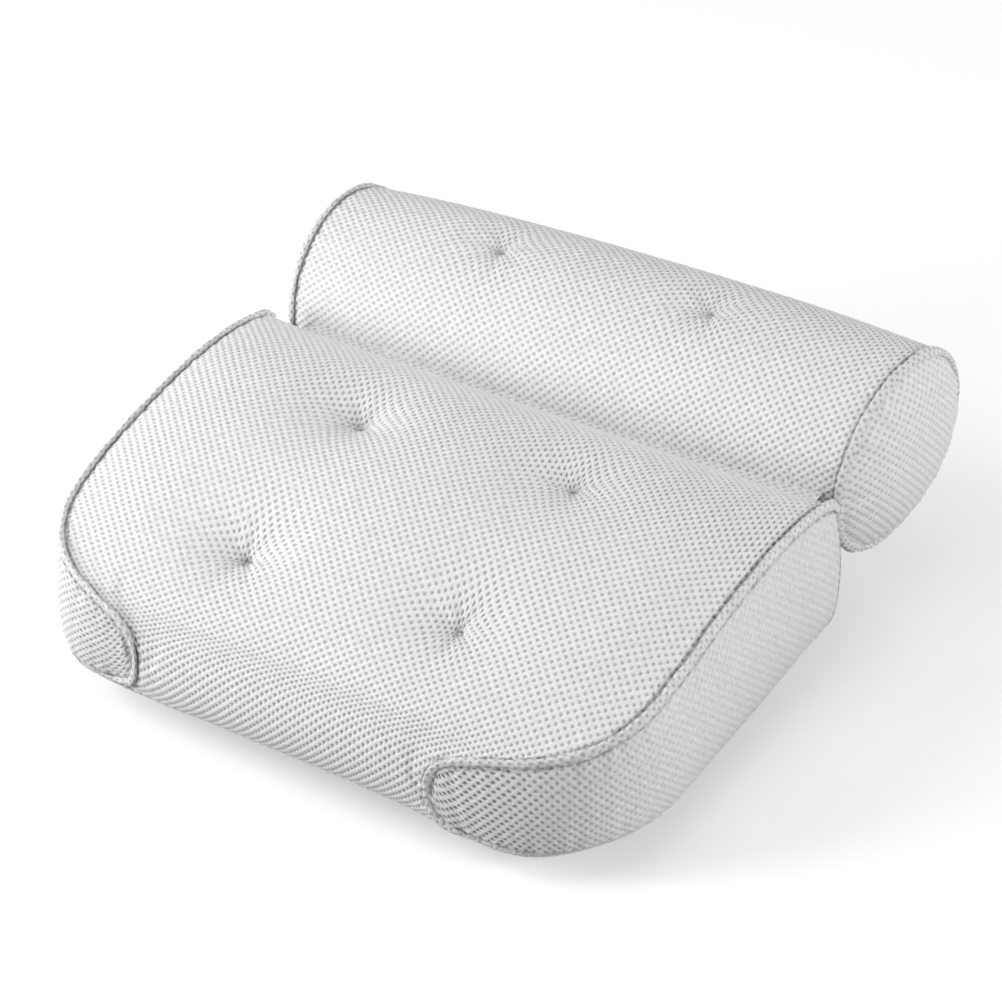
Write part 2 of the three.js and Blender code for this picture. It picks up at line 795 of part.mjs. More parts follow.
// Suction cup: a hollow-bottomed dish with a neck and a mushroom knob, turned about its own axis.
function cupGeometry() {
  const profile = [
    [0, cupHollowDepth],
    [cupRimRadius - cupRimWidth - cupShoulderRadius, cupHollowDepth],
    [cupRimRadius - cupRimWidth, 0],
    [cupRimRadius, 0],
    [cupRimRadius, cupRimHeight],
    [cupShoulderRadius, cupBodyHeight],
    [cupNeckRadius, cupBodyHeight],
    [cupNeckRadius, cupBodyHeight + cupNeckLength],
    [cupKnobRadius, cupBodyHeight + cupNeckLength],
    [cupKnobRadius, cupTopHeight - cupRimHeight],
    [cupKnobRadius - cupRimHeight, cupTopHeight],
    [0, cupTopHeight],
  ];
  return new THREE.LatheGeometry(profile.map(([radius, height]) => new THREE.Vector2(radius, height)), cupSides);
}

// Fabric loop: a strap sewn on at both feet, bridged over the knob, with a buttonhole for the neck.
function loopGeometry(seat) {
  const bottom = cupBodyHeight + cupNeckLength - loopThickness - cupHeadroom;
  const inner = loopHalfSpan - loopThickness;
  const strap = new THREE.Shape([
    new THREE.Vector2(-loopHalfSpan - loopFoot, seat - loopThickness),
    new THREE.Vector2(-loopHalfSpan, seat - loopThickness),
    new THREE.Vector2(-loopHalfSpan, bottom),
    new THREE.Vector2(loopHalfSpan, bottom),
    new THREE.Vector2(loopHalfSpan, seat - loopThickness),
    new THREE.Vector2(loopHalfSpan + loopFoot, seat - loopThickness),
    new THREE.Vector2(loopHalfSpan + loopFoot, seat),
    new THREE.Vector2(inner, seat),
    new THREE.Vector2(inner, bottom + loopThickness),
    new THREE.Vector2(-inner, bottom + loopThickness),
    new THREE.Vector2(-inner, seat),
    new THREE.Vector2(-loopHalfSpan - loopFoot, seat),
  ]);
  const geometry = new THREE.ExtrudeGeometry(strap, { depth: loopWidth, bevelEnabled: false });
  geometry.translate(0, 0, -loopWidth / 2);
  geometry.rotateX(Math.PI / 2);
  const hole = bar(
    new THREE.Vector3(0, 0, 0),
    new THREE.Vector3(0, 0, cupTopHeight),
    cupNeckRadius + cupNeckClearance,
    cupSides,
  );
  return bored(geometry, [hole]);
}

function addCup(name, x, y, seat) {
  const cup = addPiece(`${name}_cup`, cupGeometry(), clearVinyl);
  cup.geometry.rotateX(Math.PI / 2);
  cup.position.set(x, y, -wedgeLift);
  const loop = addPiece(`${name}_cup_loop`, loopGeometry(seat), pipingCloth);
  loop.position.set(x, y, -wedgeLift);
}

function makeCups() {
  const rows = [['back', wedgeCupBackShare * wedgeDepth], ['front', wedgeCupFrontShare * wedgeDepth]];
  for (const [row, y] of rows) {
    addCup(`wedge_${row}_left`, -wedgeCupSpreadShare * wedgeHalfWidth, y, wedgeLift - sewnGap);
    addCup(`wedge_${row}_right`, wedgeCupSpreadShare * wedgeHalfWidth, y, wedgeLift - sewnGap);
  }
  const reach = loopHalfSpan + loopFoot;
  for (const [side, name] of [[-1, 'roll_left'], [1, 'roll_right']]) {
    const x = side * rollCupSpreadShare * rollHalfLength;
    const ends = [x - reach, x + reach];
    const lowest = Math.min(...ends.map((end) => rollAxisAt(end) - rollRadiusAt(end, -Math.PI / 2)));
    addCup(name, x, rollAxisY, wedgeLift + lowest - sewnGap);
  }
}

makeTopPanel();
makeSidePanel(1, 'wedge_side_panel_right');
makeSidePanel(-1, 'wedge_side_panel_left');
makeBasePanel();
makeBackPanel();
makeWedgePiping(1, 'wedge_piping_right');
makeWedgePiping(-1, 'wedge_piping_left');
makeWedgeFilling();
makeWedgeTies();
makeFlaps();
makeRollCover();
makeRollEnd(1, 'roll_end_panel_right');
makeRollEnd(-1, 'roll_end_panel_left');
makeRollPiping(1, 'roll_piping_right');
makeRollPiping(-1, 'roll_piping_left');
makeRollFilling();
makeRollTies();
makeCups();

export default pillow;
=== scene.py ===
import math

import bmesh
import bpy
import numpy as np
from mathutils import Matrix, Vector


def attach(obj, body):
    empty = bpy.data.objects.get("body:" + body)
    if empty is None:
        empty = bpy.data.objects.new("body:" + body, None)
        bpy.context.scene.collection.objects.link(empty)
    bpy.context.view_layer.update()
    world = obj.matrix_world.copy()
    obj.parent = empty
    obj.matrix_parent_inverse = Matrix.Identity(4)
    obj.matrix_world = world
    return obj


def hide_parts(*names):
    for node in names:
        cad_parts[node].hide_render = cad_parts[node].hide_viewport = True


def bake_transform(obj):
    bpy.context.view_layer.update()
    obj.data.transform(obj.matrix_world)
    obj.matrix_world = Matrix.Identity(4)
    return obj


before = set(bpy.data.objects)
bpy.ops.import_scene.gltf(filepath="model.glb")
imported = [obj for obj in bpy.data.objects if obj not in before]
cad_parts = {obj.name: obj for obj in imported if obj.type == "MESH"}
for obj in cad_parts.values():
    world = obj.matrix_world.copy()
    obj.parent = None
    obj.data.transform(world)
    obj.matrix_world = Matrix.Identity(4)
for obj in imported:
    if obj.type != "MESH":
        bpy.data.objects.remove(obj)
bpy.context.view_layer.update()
mm = 0.001
sides = ((1, "right"), (-1, "left"))

# Wedge cushion: local Y runs from the front seam line to the back wall, local Z from the underside.
wedge_half_width = 183 * mm
wedge_depth = 236 * mm
seam_height = 104 * mm
crown_height = 112 * mm
gusset_bulge = 6 * mm
back_recess = 4 * mm
base_seam_rise = 3 * mm
tongue_skew = 8 * mm
foot_tuck_depth = 6 * mm
foot_round_share = 0.07
foot_lift_back = 11 * mm
foot_lift_start = 6
foot_tuck_stations = (0.5, 4)
base_hem_stations = (0, 4)
# The left tongue's lift and shift, and the stations from its tip where each starts and ends.
left_lift = 8 * mm
left_lift_stations = (-12, -8, 6, 10)
left_tip_shift = 3 * mm
left_shift_stations = (-6, -2, 0, 3)

# Neck roll.
roll_mid_radius = 63 * mm
roll_rim_radius = 57 * mm
roll_half_length = 178 * mm
roll_axis_height = 79 * mm
roll_lean = math.radians(1)
# How far each end's seam lies beyond half the length: all of it, more at its top, more at its back. Then
# how far the end panel bulges.
roll_left_end = (5 * mm, 1 * mm, 0, 13.5 * mm)
roll_right_end = (1 * mm, 5 * mm, 4.5 * mm, 16.5 * mm)

# Seams, fold, tufts and cups.
fold_gap = 9 * mm
fold_axis_height = 84 * mm
flap_half_width = 165 * mm
flap_thickness = 1.2 * mm
tuft_wide_radius = 24 * mm
tuft_tight_radius = 9 * mm
roll_tuft_depth = 7 * mm
wide_tuft_share = 0.6
wedge_tuft_places = (
    (-0.361, 3.91, 14 * mm),
    (0.361, 3.77, 10 * mm),
    (-0.367, 6.95, 12.5 * mm),
    (0.361, 6.82, 9.6 * mm),
)
roll_tuft_shares = (-0.377, 0.36)
roll_tuft_angle = math.radians(96)
roll_end_power = 2.6
crown_edge_share = 0.6
crown_edge_power = 9
cup_rim_radius = 25 * mm
cup_neck_radius = 4 * mm
cup_knob_radius = 7 * mm
cup_height = 13.2 * mm
cup_headroom = 0.5 * mm
cup_rim_width = 2.5 * mm
cup_rim_height = 1.2 * mm
cup_hollow_depth = 3.6 * mm
cup_shoulder_radius = 9 * mm
cup_body_height = 7.6 * mm
cup_neck_length = 2.8 * mm
loop_thickness = 1.8 * mm
loop_width = 18 * mm
loop_half_span = 15 * mm
loop_foot = 7 * mm
buttonhole_radius = 4.4 * mm
wedge_cup_spread_share = 0.6
wedge_cup_front_share = 0.26
wedge_cup_back_share = 0.78
roll_cup_spread_share = 0.54

# Knitted air mesh: holes lie on a chequered lattice, half a pitch apart across and along.
knit_half_pitch = 2.64 * mm
knit_step = knit_half_pitch / 2
hole_depth = 1.3 * mm
knot_rise = 0.55 * mm

# Look of the knit. A hole starts at this height of its wave, and noises are counted per metre.
hole_start = 0.4
hole_softness = 0.95
hole_rim_noise = 900
hole_rim_raggedness = 0.35
hole_noise = 0.9
hole_unevenness = (0.6, 1.4)
joining_stretch = (0.35, 0.95)
yarn_noise = 2600
yarn_tones = (0.94, 1.06)
yarn_roughness = (0.82, 0.94)
yarn_blue = 0.995
tone_noise = 14
cloth_tones = (0.96, 1.04)
speck_noise = 420
# Painted shade in the crease beside the welt, then painted shade in the middle of each tuft's pinch.
painted_seam_shade_noise = 330
painted_seam_shade_gaps = (0.4, 0.6)
painted_seam_shade_strengths = (0.3, 1.0)
painted_seam_shade_reach = (0.2 * mm, 1.6 * mm)
painted_pinch_shade_reach = (0.8 * mm, 3 * mm)
painted_pinch_shade = 0.5
rib_height = 0.12
fuzz_height = 0.35
hole_height = 0.8
knit_bump = (0.8 * mm, 0.7)

# Look of the loose fibres and of the vinyl.
coarse_fibre_noise = 160
fine_fibre_noise = 1800
fine_fibre_height = 0.4
fibre_gaps = (0.35, 0.7)
fibre_roughness = (0.8, 0.95)
fibre_bump_strength = 0.6
scuff_noise = 260
scuff_edges = (0.45, 0.75)
vinyl_clear = (0.93, 0.96, 0.97, 1)
vinyl_scuffed = (0.86, 0.89, 0.9, 1)
vinyl_roughness = (0.06, 0.24)
vinyl_bump = (0.3 * mm, 0.15)

# Seam between the top panel and a side panel, from the back corner round the tongue to the underside:
# shares of the half width, of the depth and of the seam height, one station a line.
seam_shares = np.array([
    (1.0, 0.996, 0.865),
    (1.0, 0.958, 0.94),
    (1.0, 0.873, 0.986),
    (1.0, 0.78, 1.0),
    (1.0, 0.652, 0.985),
    (1.0, 0.49, 0.924),
    (1.0, 0.343, 0.846),
    (0.984, 0.222, 0.762),
    (0.943, 0.145, 0.702),
    (0.874, 0.078, 0.649),
    (0.776, 0.034, 0.596),
    (0.667, 0.011, 0.548),
    (0.579, 0.002, 0.49),
    (0.525, -0.002, 0.413),
    (0.503, -0.002, 0.317),
    (0.503, 0.0, 0.212),
    (0.516, 0.003, 0.125),
    (0.546, 0.009, 0.063),
    (0.601, 0.015, 0.029),
])

# Middle line of the top panel at the same stations: shares of the depth and of the crown height.
crown_shares = np.array([
    (1.0, 0.768),
    (0.96, 0.875),
    (0.882, 0.948),
    (0.785, 0.99),
    (0.665, 1.0),
    (0.5, 0.965),
    (0.352, 0.887),
    (0.232, 0.786),
    (0.15, 0.7),
    (0.09, 0.622),
    (0.045, 0.549),
    (0.025, 0.504),
    (0.008, 0.451),
    (-0.006, 0.379),
    (-0.012, 0.295),
    (-0.011, 0.201),
    (-0.002, 0.12),
    (0.017, 0.054),
    (0.051, 0.004),
])

# Lower edge of a side panel, from the tongue's foot to the back corner: shares of the half width and of
# the depth, then the share of the depth that the middle of the underside has at that station.
foot_shares = np.array([
    (0.601, 0.015, 0.051),
    (0.71, 0.013, 0.07),
    (0.81, 0.032, 0.095),
    (0.89, 0.082, 0.135),
    (0.952, 0.155, 0.185),
    (0.989, 0.245, 0.255),
    (1.0, 0.343, 0.343),
    (1.0, 0.49, 0.49),
    (1.0, 0.652, 0.652),
    (1.0, 0.78, 0.78),
    (1.0, 0.873, 0.873),
    (1.0, 0.945, 0.945),
    (1.0, 0.982, 0.982),
])
last_station = len(seam_shares) - 1
last_foot_station = len(foot_shares) - 1
tongue_tip_station = 14.5
tongue_foot_station = 12
skew_start_station = 8
skew_end_station = 13

# How the fabric lies.
wall_thickness = 1.6 * mm
sim_step = 5.5 * mm
swell_cap = 4 * mm
gusset_swell_cap = 3 * mm
roll_swell_cap = 3 * mm
far_from_tufts = 60 * mm
wedge_crest_station = 3.2
front_stations = (8, 12.5)
roll_crest_angle = math.radians(68)
crest_reach = 40 * mm

# How far the knit is stretched open, which sets how much of the holes' painted shade shows: a share from 0 to
# 1, and for the tongues by side, 1 right and -1 left.
cover_stretch = 0.43
tuft_stretch = 0.45
drawn_stretch = 0.42
# More open on the right only to paint the right side darker, as painted shade.
right_painted_shade = 0.13
# The front is drawn open, and opened further to paint it darker, as painted shade.
front_stretch_and_shade = 0.7
side_stretch = 0.12
# Each tongue is drawn open; the right one more, which paints it darker as painted shade.
tongue_stretch_and_shade = {1: 0.88, -1: 0.62}
tongue_start_shares = (0.62, 0.92)
end_stretch = 0.4
end_relief_stretch = 0.35
base_stretch = 0.5
back_stretch = 0.4
back_relief_stretch = 0.5
fold_stretch = 0.4
welt_stretch = 0.8
loop_stretch = 0.5

# Grids, fine lines and small folds.
base_step = 4 * knit_step
tuft_fold_depth = 0.4 * mm
tuft_fold_count = 7
tuft_fold_turn = 1.7
coarse_fold_count = 4
coarse_fold_share = 0.5
tuft_hold_reach = 0.8 * sim_step
tuft_fold_reach = 11 * mm
tuft_pinch_depth = 4.5 * mm
tuft_pinch_radius = 2.4 * mm
tuft_pull_share = 0.45
tuft_pull_reach = 18 * mm
end_pleat_depth = 1.1 * mm
end_pleat_counts = (15, 21)
end_pleat_shares = (1, 0.6)
end_pleat_start_power = 4
end_pleat_rim_power = 8
sewn_gap = 0.4 * mm
filling_edge = 14 * mm
filling_inset = 0.3 * mm
fold_tuck = 2 * mm
fold_reach = 4 * mm
cup_sides = 48
corner_points = 5
corner_room = 2.2
fold_rows = 14
fold_relief_share = 0.6
seam_samples = 1200
foot_samples = 800
line_samples = 900
back_stitch_samples = 400
filling_samples = 200
thread_samples = 9
fewest_tube_steps = 8
weld_reach = knit_step / 50
filling_weld_reach = knit_step / 20
no_length = 1e-12
fine_samples = 361
side_samples = 301
base_samples = 201
loop_step = 1.1 * mm
loop_columns = 19
buttonhole_cut = (-0.4 * mm, 0.5 * mm)
filling_ripple_lengths = (9 * mm, 11 * mm, 7 * mm)
filling_ripple_share = 0.5

# Seams: the tuck beside the welt, the puckers and the stitches.
painted_seam_shade_distance = 3.4 * mm
seam_tuck = 1.6 * mm
seam_tuck_reach = 2.6 * mm
pucker_depth = 0.55 * mm
pucker_reach = 9 * mm
pucker_pitch = 13 * mm
fine_pucker_pitch = 0.618 * pucker_pitch
fine_pucker_share = 0.6
side_pucker_start = 5 * mm
stitch_inset = 4.2 * mm
stitch_spacing = 3.4 * mm
stitch_length = 2.5 * mm
stitch_radius = 0.3 * mm
stitch_start = 0.3
stitch_tip_gap = 1.2
back_stitch_share = 0.97
back_stitch_rise = 0.95
tuft_thread_radius = 0.45 * mm
tuft_thread_reach = 3 * mm
tuft_thread_rise = 0.8 * mm
tuft_thread_turn = 0.35
thread_sink = 2.5 * mm

# Welts.
welt_half_width = 2.8 * mm
welt_half_height = 1.5 * mm
welt_rounds = 6
welt_pitch = 2.6 * mm
welt_hole_depth = 0.6 * mm
welt_lump = 0.2 * mm
welt_lump_lengths = (5 * mm, 8.7 * mm)
welt_fuzz = 0.35 * mm
welt_seed = 7
lower_welt_slimming = 0.7
lower_welt_start = -12 * mm
lower_welt_end = 12 * mm

# Places that follow from the sizes.
wedge_lift = cup_height + cup_headroom
roll_axis_y = wedge_depth + fold_gap + roll_mid_radius
nose_y = crown_shares[:, 0].min() * wedge_depth
middle_y = (nose_y + roll_axis_y + roll_mid_radius) / 2
to_frame = np.array([0, -middle_y, wedge_lift])
roll_axis = np.array([0, roll_axis_y, roll_axis_height]) + to_frame
fold_y = wedge_depth + fold_gap / 2 - middle_y
fold_z = fold_axis_height + wedge_lift

# Camera and light.
camera_azimuth = math.radians(35.18)
camera_elevation = math.radians(35.33)
camera_roll = math.radians(-2.6)
camera_target = Vector((-0.0162, 0.0312, 0.0486))
camera_distance = 1.816
camera_lens = 118.3
sensor_width = 36
lamp_aim = (0, 0, 0.05)
# Name, place, width and watts of each lamp.
lamps = (
    ("key", (-1.3, -1.0, 1.5), 1.2, 17),
    ("low_left", (-1.1, -1.1, 0.5), 0.8, 13.5),
    ("left", (-1.8, 0, 0.8), 1.0, 3.8),
    ("top", (0, 0, 2.2), 1.4, 2.6),
    ("right", (1.8, 0, 0.7), 1.0, 18.3),
    ("back", (0, 1.9, 1.2), 1.2, 6.5),
)
world_strength = 0.2
floor_glow = 0.3
floor_bounce = 0.4
floor_seen = 0.93
floor_half_width = 6


def smooth_step(value, low, high):
    share = np.clip((value - low) / (high - low), 0, 1)
    return share * share * (3 - 2 * share)


def cubic_weights(share):
    """Weights of the four neighbours of a place on a smooth curve through points."""
    square, cube = share ** 2, share ** 3
    return (
        (-cube + 2 * square - share) / 2,
        (3 * cube - 5 * square + 2) / 2,
        (-3 * cube + 4 * square + share) / 2,
        (cube - square) / 2,
    )


def spline(points, place):
    """A smooth curve through the rows of points; place counts rows and may be an array."""
    place = np.clip(np.asarray(place, float), 0, len(points) - 1)
    first = np.minimum(place.astype(int), len(points) - 2)
    padded = np.vstack([2 * points[0] - points[1], points, 2 * points[-1] - points[-2]])
    weights = cubic_weights((place - first)[..., None])
    return sum(weight * padded[first + i] for i, weight in enumerate(weights))


def sampled(field, row, column, wrap=False):
    """Smooth values of a grid of vectors at places between its rows and columns."""
    rows, columns = field.shape[:2]
    row_first = np.floor(row).astype(int)
    column_first = np.floor(column).astype(int)
    row_weights = cubic_weights(row - row_first)
    column_weights = cubic_weights(column - column_first)
    total = np.zeros(row.shape + (field.shape[2],))
    for i in range(4):
        line = np.clip(row_first + i - 1, 0, rows - 1)
        for j in range(4):
            place = column_first + j - 1
            place = place % columns if wrap else np.clip(place, 0, columns - 1)
            total += (row_weights[i] * column_weights[j])[..., None] * field[line, place]
    return total


# Surfaces of the wedge.
seam_points = seam_shares * (wedge_half_width, wedge_depth, seam_height)
crown_points = np.insert(crown_shares * (wedge_depth, crown_height), 0, 0, axis=1)
foot_points = np.column_stack([
    foot_shares[:, :2] * (wedge_half_width, wedge_depth),
    np.full(len(foot_shares), base_seam_rise),
])
underside_points = np.column_stack([np.zeros(len(foot_shares)), foot_shares[:, 2] * wedge_depth,
                                    np.zeros(len(foot_shares))])


def skewed(points, side, amount):
    across = side * points[..., 0] - tongue_skew * amount
    return np.concatenate([across[..., None], points[..., 1:]], axis=-1)


def left_raised(points, side, from_tip):
    """The left tongue and the edge behind it lie a little higher than the right ones."""
    left = (1 - side) / 2
    for stations, move in ((left_lift_stations, (0, 0, left_lift)),
                           (left_shift_stations, (-left_tip_shift, 0, 0))):
        share = left * smooth_step(from_tip, *stations[:2]) * (1 - smooth_step(from_tip, *stations[2:]))
        points = points + np.asarray(share)[..., None] * np.array(move)
    return points


def seam_point(side, station):
    amount = smooth_step(station, skew_start_station, skew_end_station)
    return left_raised(skewed(spline(seam_points, station), side, amount), side, station - last_station)


def foot_tuck(station):
    return foot_tuck_depth * smooth_step(station, *foot_tuck_stations)


def foot_point(side, station):
    """Lower seam of a side panel. It lies a little under the cushion and rises to the back corner."""
    amount = 1 - smooth_step(station, 0, last_foot_station / 2)
    point = left_raised(skewed(spline(foot_points, station), side, amount), side, station)
    inward = np.array([0, wedge_depth / 2, 0]) - point * (1, 1, 0)
    inward /= np.linalg.norm(inward, axis=-1, keepdims=True)
    rise = foot_lift_back * smooth_step(station, foot_lift_start, last_foot_station)
    return point + inward * foot_tuck(station)[..., None] + rise[..., None] * np.array([0, 0, 1])


def dimple(distance, depth):
    wide = np.exp(-((distance / tuft_wide_radius) ** 2))
    tight = np.exp(-((distance / tuft_tight_radius) ** 2))
    return depth * (wide_tuft_share * wide + (1 - wide_tuft_share) * tight)


def mixed(start, end, share):
    share = np.asarray(share)[..., None]
    return start + (end - start) * share


def plain_top_point(across, station):
    across = np.asarray(across, float)
    side = np.where(across < 0, -1.0, 1.0)
    reach = np.abs(across)
    seam = seam_point(side, station)
    crown = spline(crown_points, station)
    fall = crown_edge_share * reach ** crown_edge_power + (1 - crown_edge_share) * reach ** 2
    return np.stack([
        seam[..., 0] * reach,
        crown[..., 1] + (seam[..., 1] - crown[..., 1]) * reach ** 2,
        crown[..., 2] + (seam[..., 2] - crown[..., 2]) * fall,
    ], axis=-1)


wedge_tufts = [(plain_top_point(across, station), depth) for across, station, depth in wedge_tuft_places]


def top_point(across, station):
    point = plain_top_point(across, station)
    for tuft, depth in wedge_tufts:
        apart = np.hypot(point[..., 0] - tuft[0], point[..., 1] - tuft[1])
        point[..., 2] -= dimple(apart, depth)
    return point


def tuft_centres():
    return [top_point(across, station) + to_frame for across, station, _ in wedge_tuft_places]


def lower_seam_station(station):
    tip_run = (last_station - tongue_tip_station) / (tongue_tip_station - tongue_foot_station)
    return last_station - (station - tongue_foot_station) * tip_run


def side_edges(side, station):
    station = np.asarray(station, float)
    foot = foot_point(side, np.clip(tongue_foot_station - station, 0, None))
    tip = seam_point(side, lower_seam_station(np.maximum(station, tongue_foot_station)))
    lower = np.where((station > tongue_foot_station)[..., None], tip, foot)
    return lower, seam_point(side, station)


def outward(side, station):
    step = 1 / last_station
    ahead = mixed(*side_edges(side, np.minimum(station + step, tongue_tip_station)), 0.5)
    behind = mixed(*side_edges(side, np.maximum(station - step, 0)), 0.5)
    run = ahead - behind
    square = np.stack([-run[..., 1], run[..., 0], np.zeros(run.shape[:-1])], axis=-1)
    return side * square / np.linalg.norm(square, axis=-1, keepdims=True)


def side_point(side, station, rise):
    lower, upper = side_edges(side, station)
    height = np.linalg.norm(upper - lower, axis=-1)
    bulge = gusset_bulge * height / seam_height * 4 * rise * (1 - rise)
    tuck = np.where(station < tongue_foot_station, foot_tuck(tongue_foot_station - station), 0)
    bulge = bulge + tuck * (1 - rise) * (1 - np.exp(-rise / foot_round_share))
    return mixed(lower, upper, rise) + outward(side, station) * bulge[..., None]


def base_point(across, station):
    across = np.asarray(across, float)
    side = np.where(across < 0, -1.0, 1.0)
    reach = np.abs(across)
    seam = foot_point(side, station)
    middle = spline(underside_points, station)
    near_hem = (1 - crown_edge_share) * (1 - smooth_step(station, *base_hem_stations))
    return np.stack([
        seam[..., 0] * reach,
        middle[..., 1] + (seam[..., 1] - middle[..., 1]) * reach ** 2,
        seam[..., 2] * (near_hem * reach ** 2 + (1 - near_hem) * reach ** crown_edge_power),
    ], axis=-1)


def back_point(across, rise):
    """The back wall meets the back edges of the side panels, which stand out a little."""
    across, rise = np.broadcast_arrays(np.asarray(across, float), np.asarray(rise, float))
    start = np.zeros(across.shape)
    point = mixed(base_point(across, start + last_foot_station), top_point(across, start), rise)
    for side in (-1, 1):
        bulge = side_point(side, start, rise) - mixed(*side_edges(side, start), rise)
        point += bulge * (np.maximum(0, side * across) ** 2)[..., None]
    point[..., 1] -= back_recess * 4 * rise * (1 - rise) * (1 - across ** 4)
    return point


def roll_radius(along):
    return roll_mid_radius - (roll_mid_radius - roll_rim_radius) * np.abs(along) ** roll_end_power


def roll_axis_rise(x):
    return x * math.tan(roll_lean)


def end_shift(x, rise, depth):
    """How far out the end on this side of the roll lies; rise and depth are shares of the rim's radius."""
    left, right = (out + top * rise + back * depth for out, top, back, _ in (roll_left_end, roll_right_end))
    return np.where(x < 0, left, right)


def slanted(points):
    """Moves points of the roll along it by their share of the ends' slant."""
    x = points[..., 0]
    rise = (points[..., 2] - roll_axis[2] - roll_axis_rise(x)) / roll_rim_radius
    depth = (points[..., 1] - roll_axis[1]) / roll_rim_radius
    moved = points.copy()
    moved[..., 0] = x * (1 + end_shift(x, rise, depth) / roll_half_length)
    return moved


def roll_radius_at(x, angle):
    return roll_radius(x / (roll_half_length + end_shift(x, np.sin(angle), np.cos(angle))))


def roll_point(along, angle):
    """Along runs from -1 to 1; the angle is measured from +Y towards +Z. Already in the frame."""
    x = along * roll_half_length
    turn = np.arctan2(np.sin(angle - roll_tuft_angle), np.cos(angle - roll_tuft_angle))
    radius = roll_radius(along)
    for share in roll_tuft_shares:
        apart = np.hypot(x - share * roll_half_length, roll_mid_radius * turn)
        radius = radius - dimple(apart, roll_tuft_depth)
    return slanted(np.stack([
        x + 0 * angle,
        roll_axis[1] + radius * np.cos(angle),
        roll_axis[2] + roll_axis_rise(x) + radius * np.sin(angle),
    ], axis=-1))


# Objects and meshes.
def add_object(name, data):
    piece = bpy.data.objects.new(name, data)
    bpy.context.scene.collection.objects.link(piece)
    return piece


def shade_smooth(mesh):
    mesh.polygons.foreach_set("use_smooth", [True] * len(mesh.polygons))


def add_mesh(name, points, faces):
    mesh = bpy.data.meshes.new(name)
    mesh.from_pydata(np.asarray(points, float).reshape(-1, 3).tolist(), [], [list(f) for f in faces])
    shade_smooth(mesh)
    mesh.validate()
    return add_object(name, mesh)


def plain_mesh(piece, name):
    """What the piece's modifiers or its curve make, as a mesh without them."""
    depsgraph = bpy.context.evaluated_depsgraph_get()
    mesh = bpy.data.meshes.new_from_object(piece.evaluated_get(depsgraph))
    mesh.name = name
    return mesh


def grid_faces(rows, columns, wrap=False):
    row, column = np.meshgrid(np.arange(rows - 1), np.arange(columns if wrap else columns - 1), indexing="ij")
    after = (column + 1) % columns
    return np.stack([
        row * columns + column,
        row * columns + after,
        (row + 1) * columns + after,
        (row + 1) * columns + column,
    ], axis=-1).reshape(-1, 4)


# Cloth: a panel's grid, held at its edges and tufts, swells under a little air pressure.
cloth_frames = 20
cloth_settings = {
    "quality": 6,
    "mass": 0.1,
    "air_damping": 2,
    "tension_stiffness": 2,
    "compression_stiffness": 2,
    "shear_stiffness": 1,
    "bending_stiffness": 0.4,
    "use_pressure": True,
    "uniform_pressure_force": 20,
}


def swollen(name, grid, held, cap, wrap=False, flip=False):
    """How far each point of the grid moves; no point moves further than cap."""
    rows, columns = grid.shape[:2]
    faces = grid_faces(rows, columns, wrap)
    piece = add_mesh(name, grid, faces[:, ::-1] if flip else faces)
    pins = piece.vertex_groups.new(name="held")
    pins.add(np.flatnonzero(held).tolist(), 1, "REPLACE")
    cloth = piece.modifiers.new("cloth", "CLOTH")
    for setting, value in cloth_settings.items():
        setattr(cloth.settings, setting, value)
    cloth.settings.vertex_group_mass = "held"
    cloth.settings.effector_weights.gravity = 0
    cloth.point_cache.frame_start = 1
    cloth.point_cache.frame_end = cloth_frames
    scene = bpy.context.scene
    for number in range(1, cloth_frames + 1):
        scene.frame_set(number)
    done = piece.evaluated_get(bpy.context.evaluated_depsgraph_get()).to_mesh()
    points = np.zeros(len(done.vertices) * 3)
    done.vertices.foreach_get("co", points)
    scene.frame_set(1)
    bpy.data.objects.remove(piece)
    move = points.reshape(grid.shape) - grid
    length = np.linalg.norm(move, axis=-1, keepdims=True)
    return move * (cap / np.maximum(length, cap))


# Fabric sheets: a fine grid that follows the knit's lattice, cut off at the panel's edges. The fields are
# the distances to the seam and to the nearest tuft, and how far the knit is stretched open.
field_names = ("edge", "pinch", "stretch")


def reach_between(across, low, high):
    """How far out a place lies on its line: -1 at the low end, 0 in the middle, 1 at the high end."""
    return np.clip(np.where(across < 0, -across / low, across / high), -1, 1)


def knit_relief(across, along, stretch=1.0):
    """Height over the fabric's face: below it in a hole, above it on a knot."""
    wave = np.cos(math.pi * across / knit_half_pitch) * np.cos(math.pi * along / knit_half_pitch)
    return knot_rise * np.maximum(0, -wave) - hole_depth * stretch * np.maximum(0, wave)


def seam_relief(edge, run):
    """The fabric dips into its seam and puckers a little beside it. Edge is the distance to the seam."""
    tuck = -seam_tuck * np.exp(-((edge / seam_tuck_reach) ** 2))
    turn = 2 * math.pi * run
    beat = np.sin(turn / pucker_pitch) + fine_pucker_share * np.sin(turn / fine_pucker_pitch)
    return tuck + pucker_depth * beat * np.exp(-edge / pucker_reach) * (1 - np.exp(-edge / seam_tuck_reach))


def sewn_relief(across, along, edge, run, stretch=1.0):
    """The knit's relief, which fades out where the fabric goes under its welt, and that of its seam."""
    knit = knit_relief(across, along, stretch)
    return knit * smooth_step(edge, 0, 2 * seam_tuck_reach) + seam_relief(edge, run)


def face_normals(lay, across, along):
    reach = knit_step / 2
    over = lay(across + reach, along) - lay(across - reach, along)
    down = lay(across, along + reach) - lay(across, along - reach)
    normal = np.cross(over, down)
    return normal / np.maximum(np.linalg.norm(normal, axis=-1, keepdims=True), no_length)


def lattice_lines(low, high, step):
    return np.arange(math.floor(low / step), math.ceil(high / step) + 1) * step


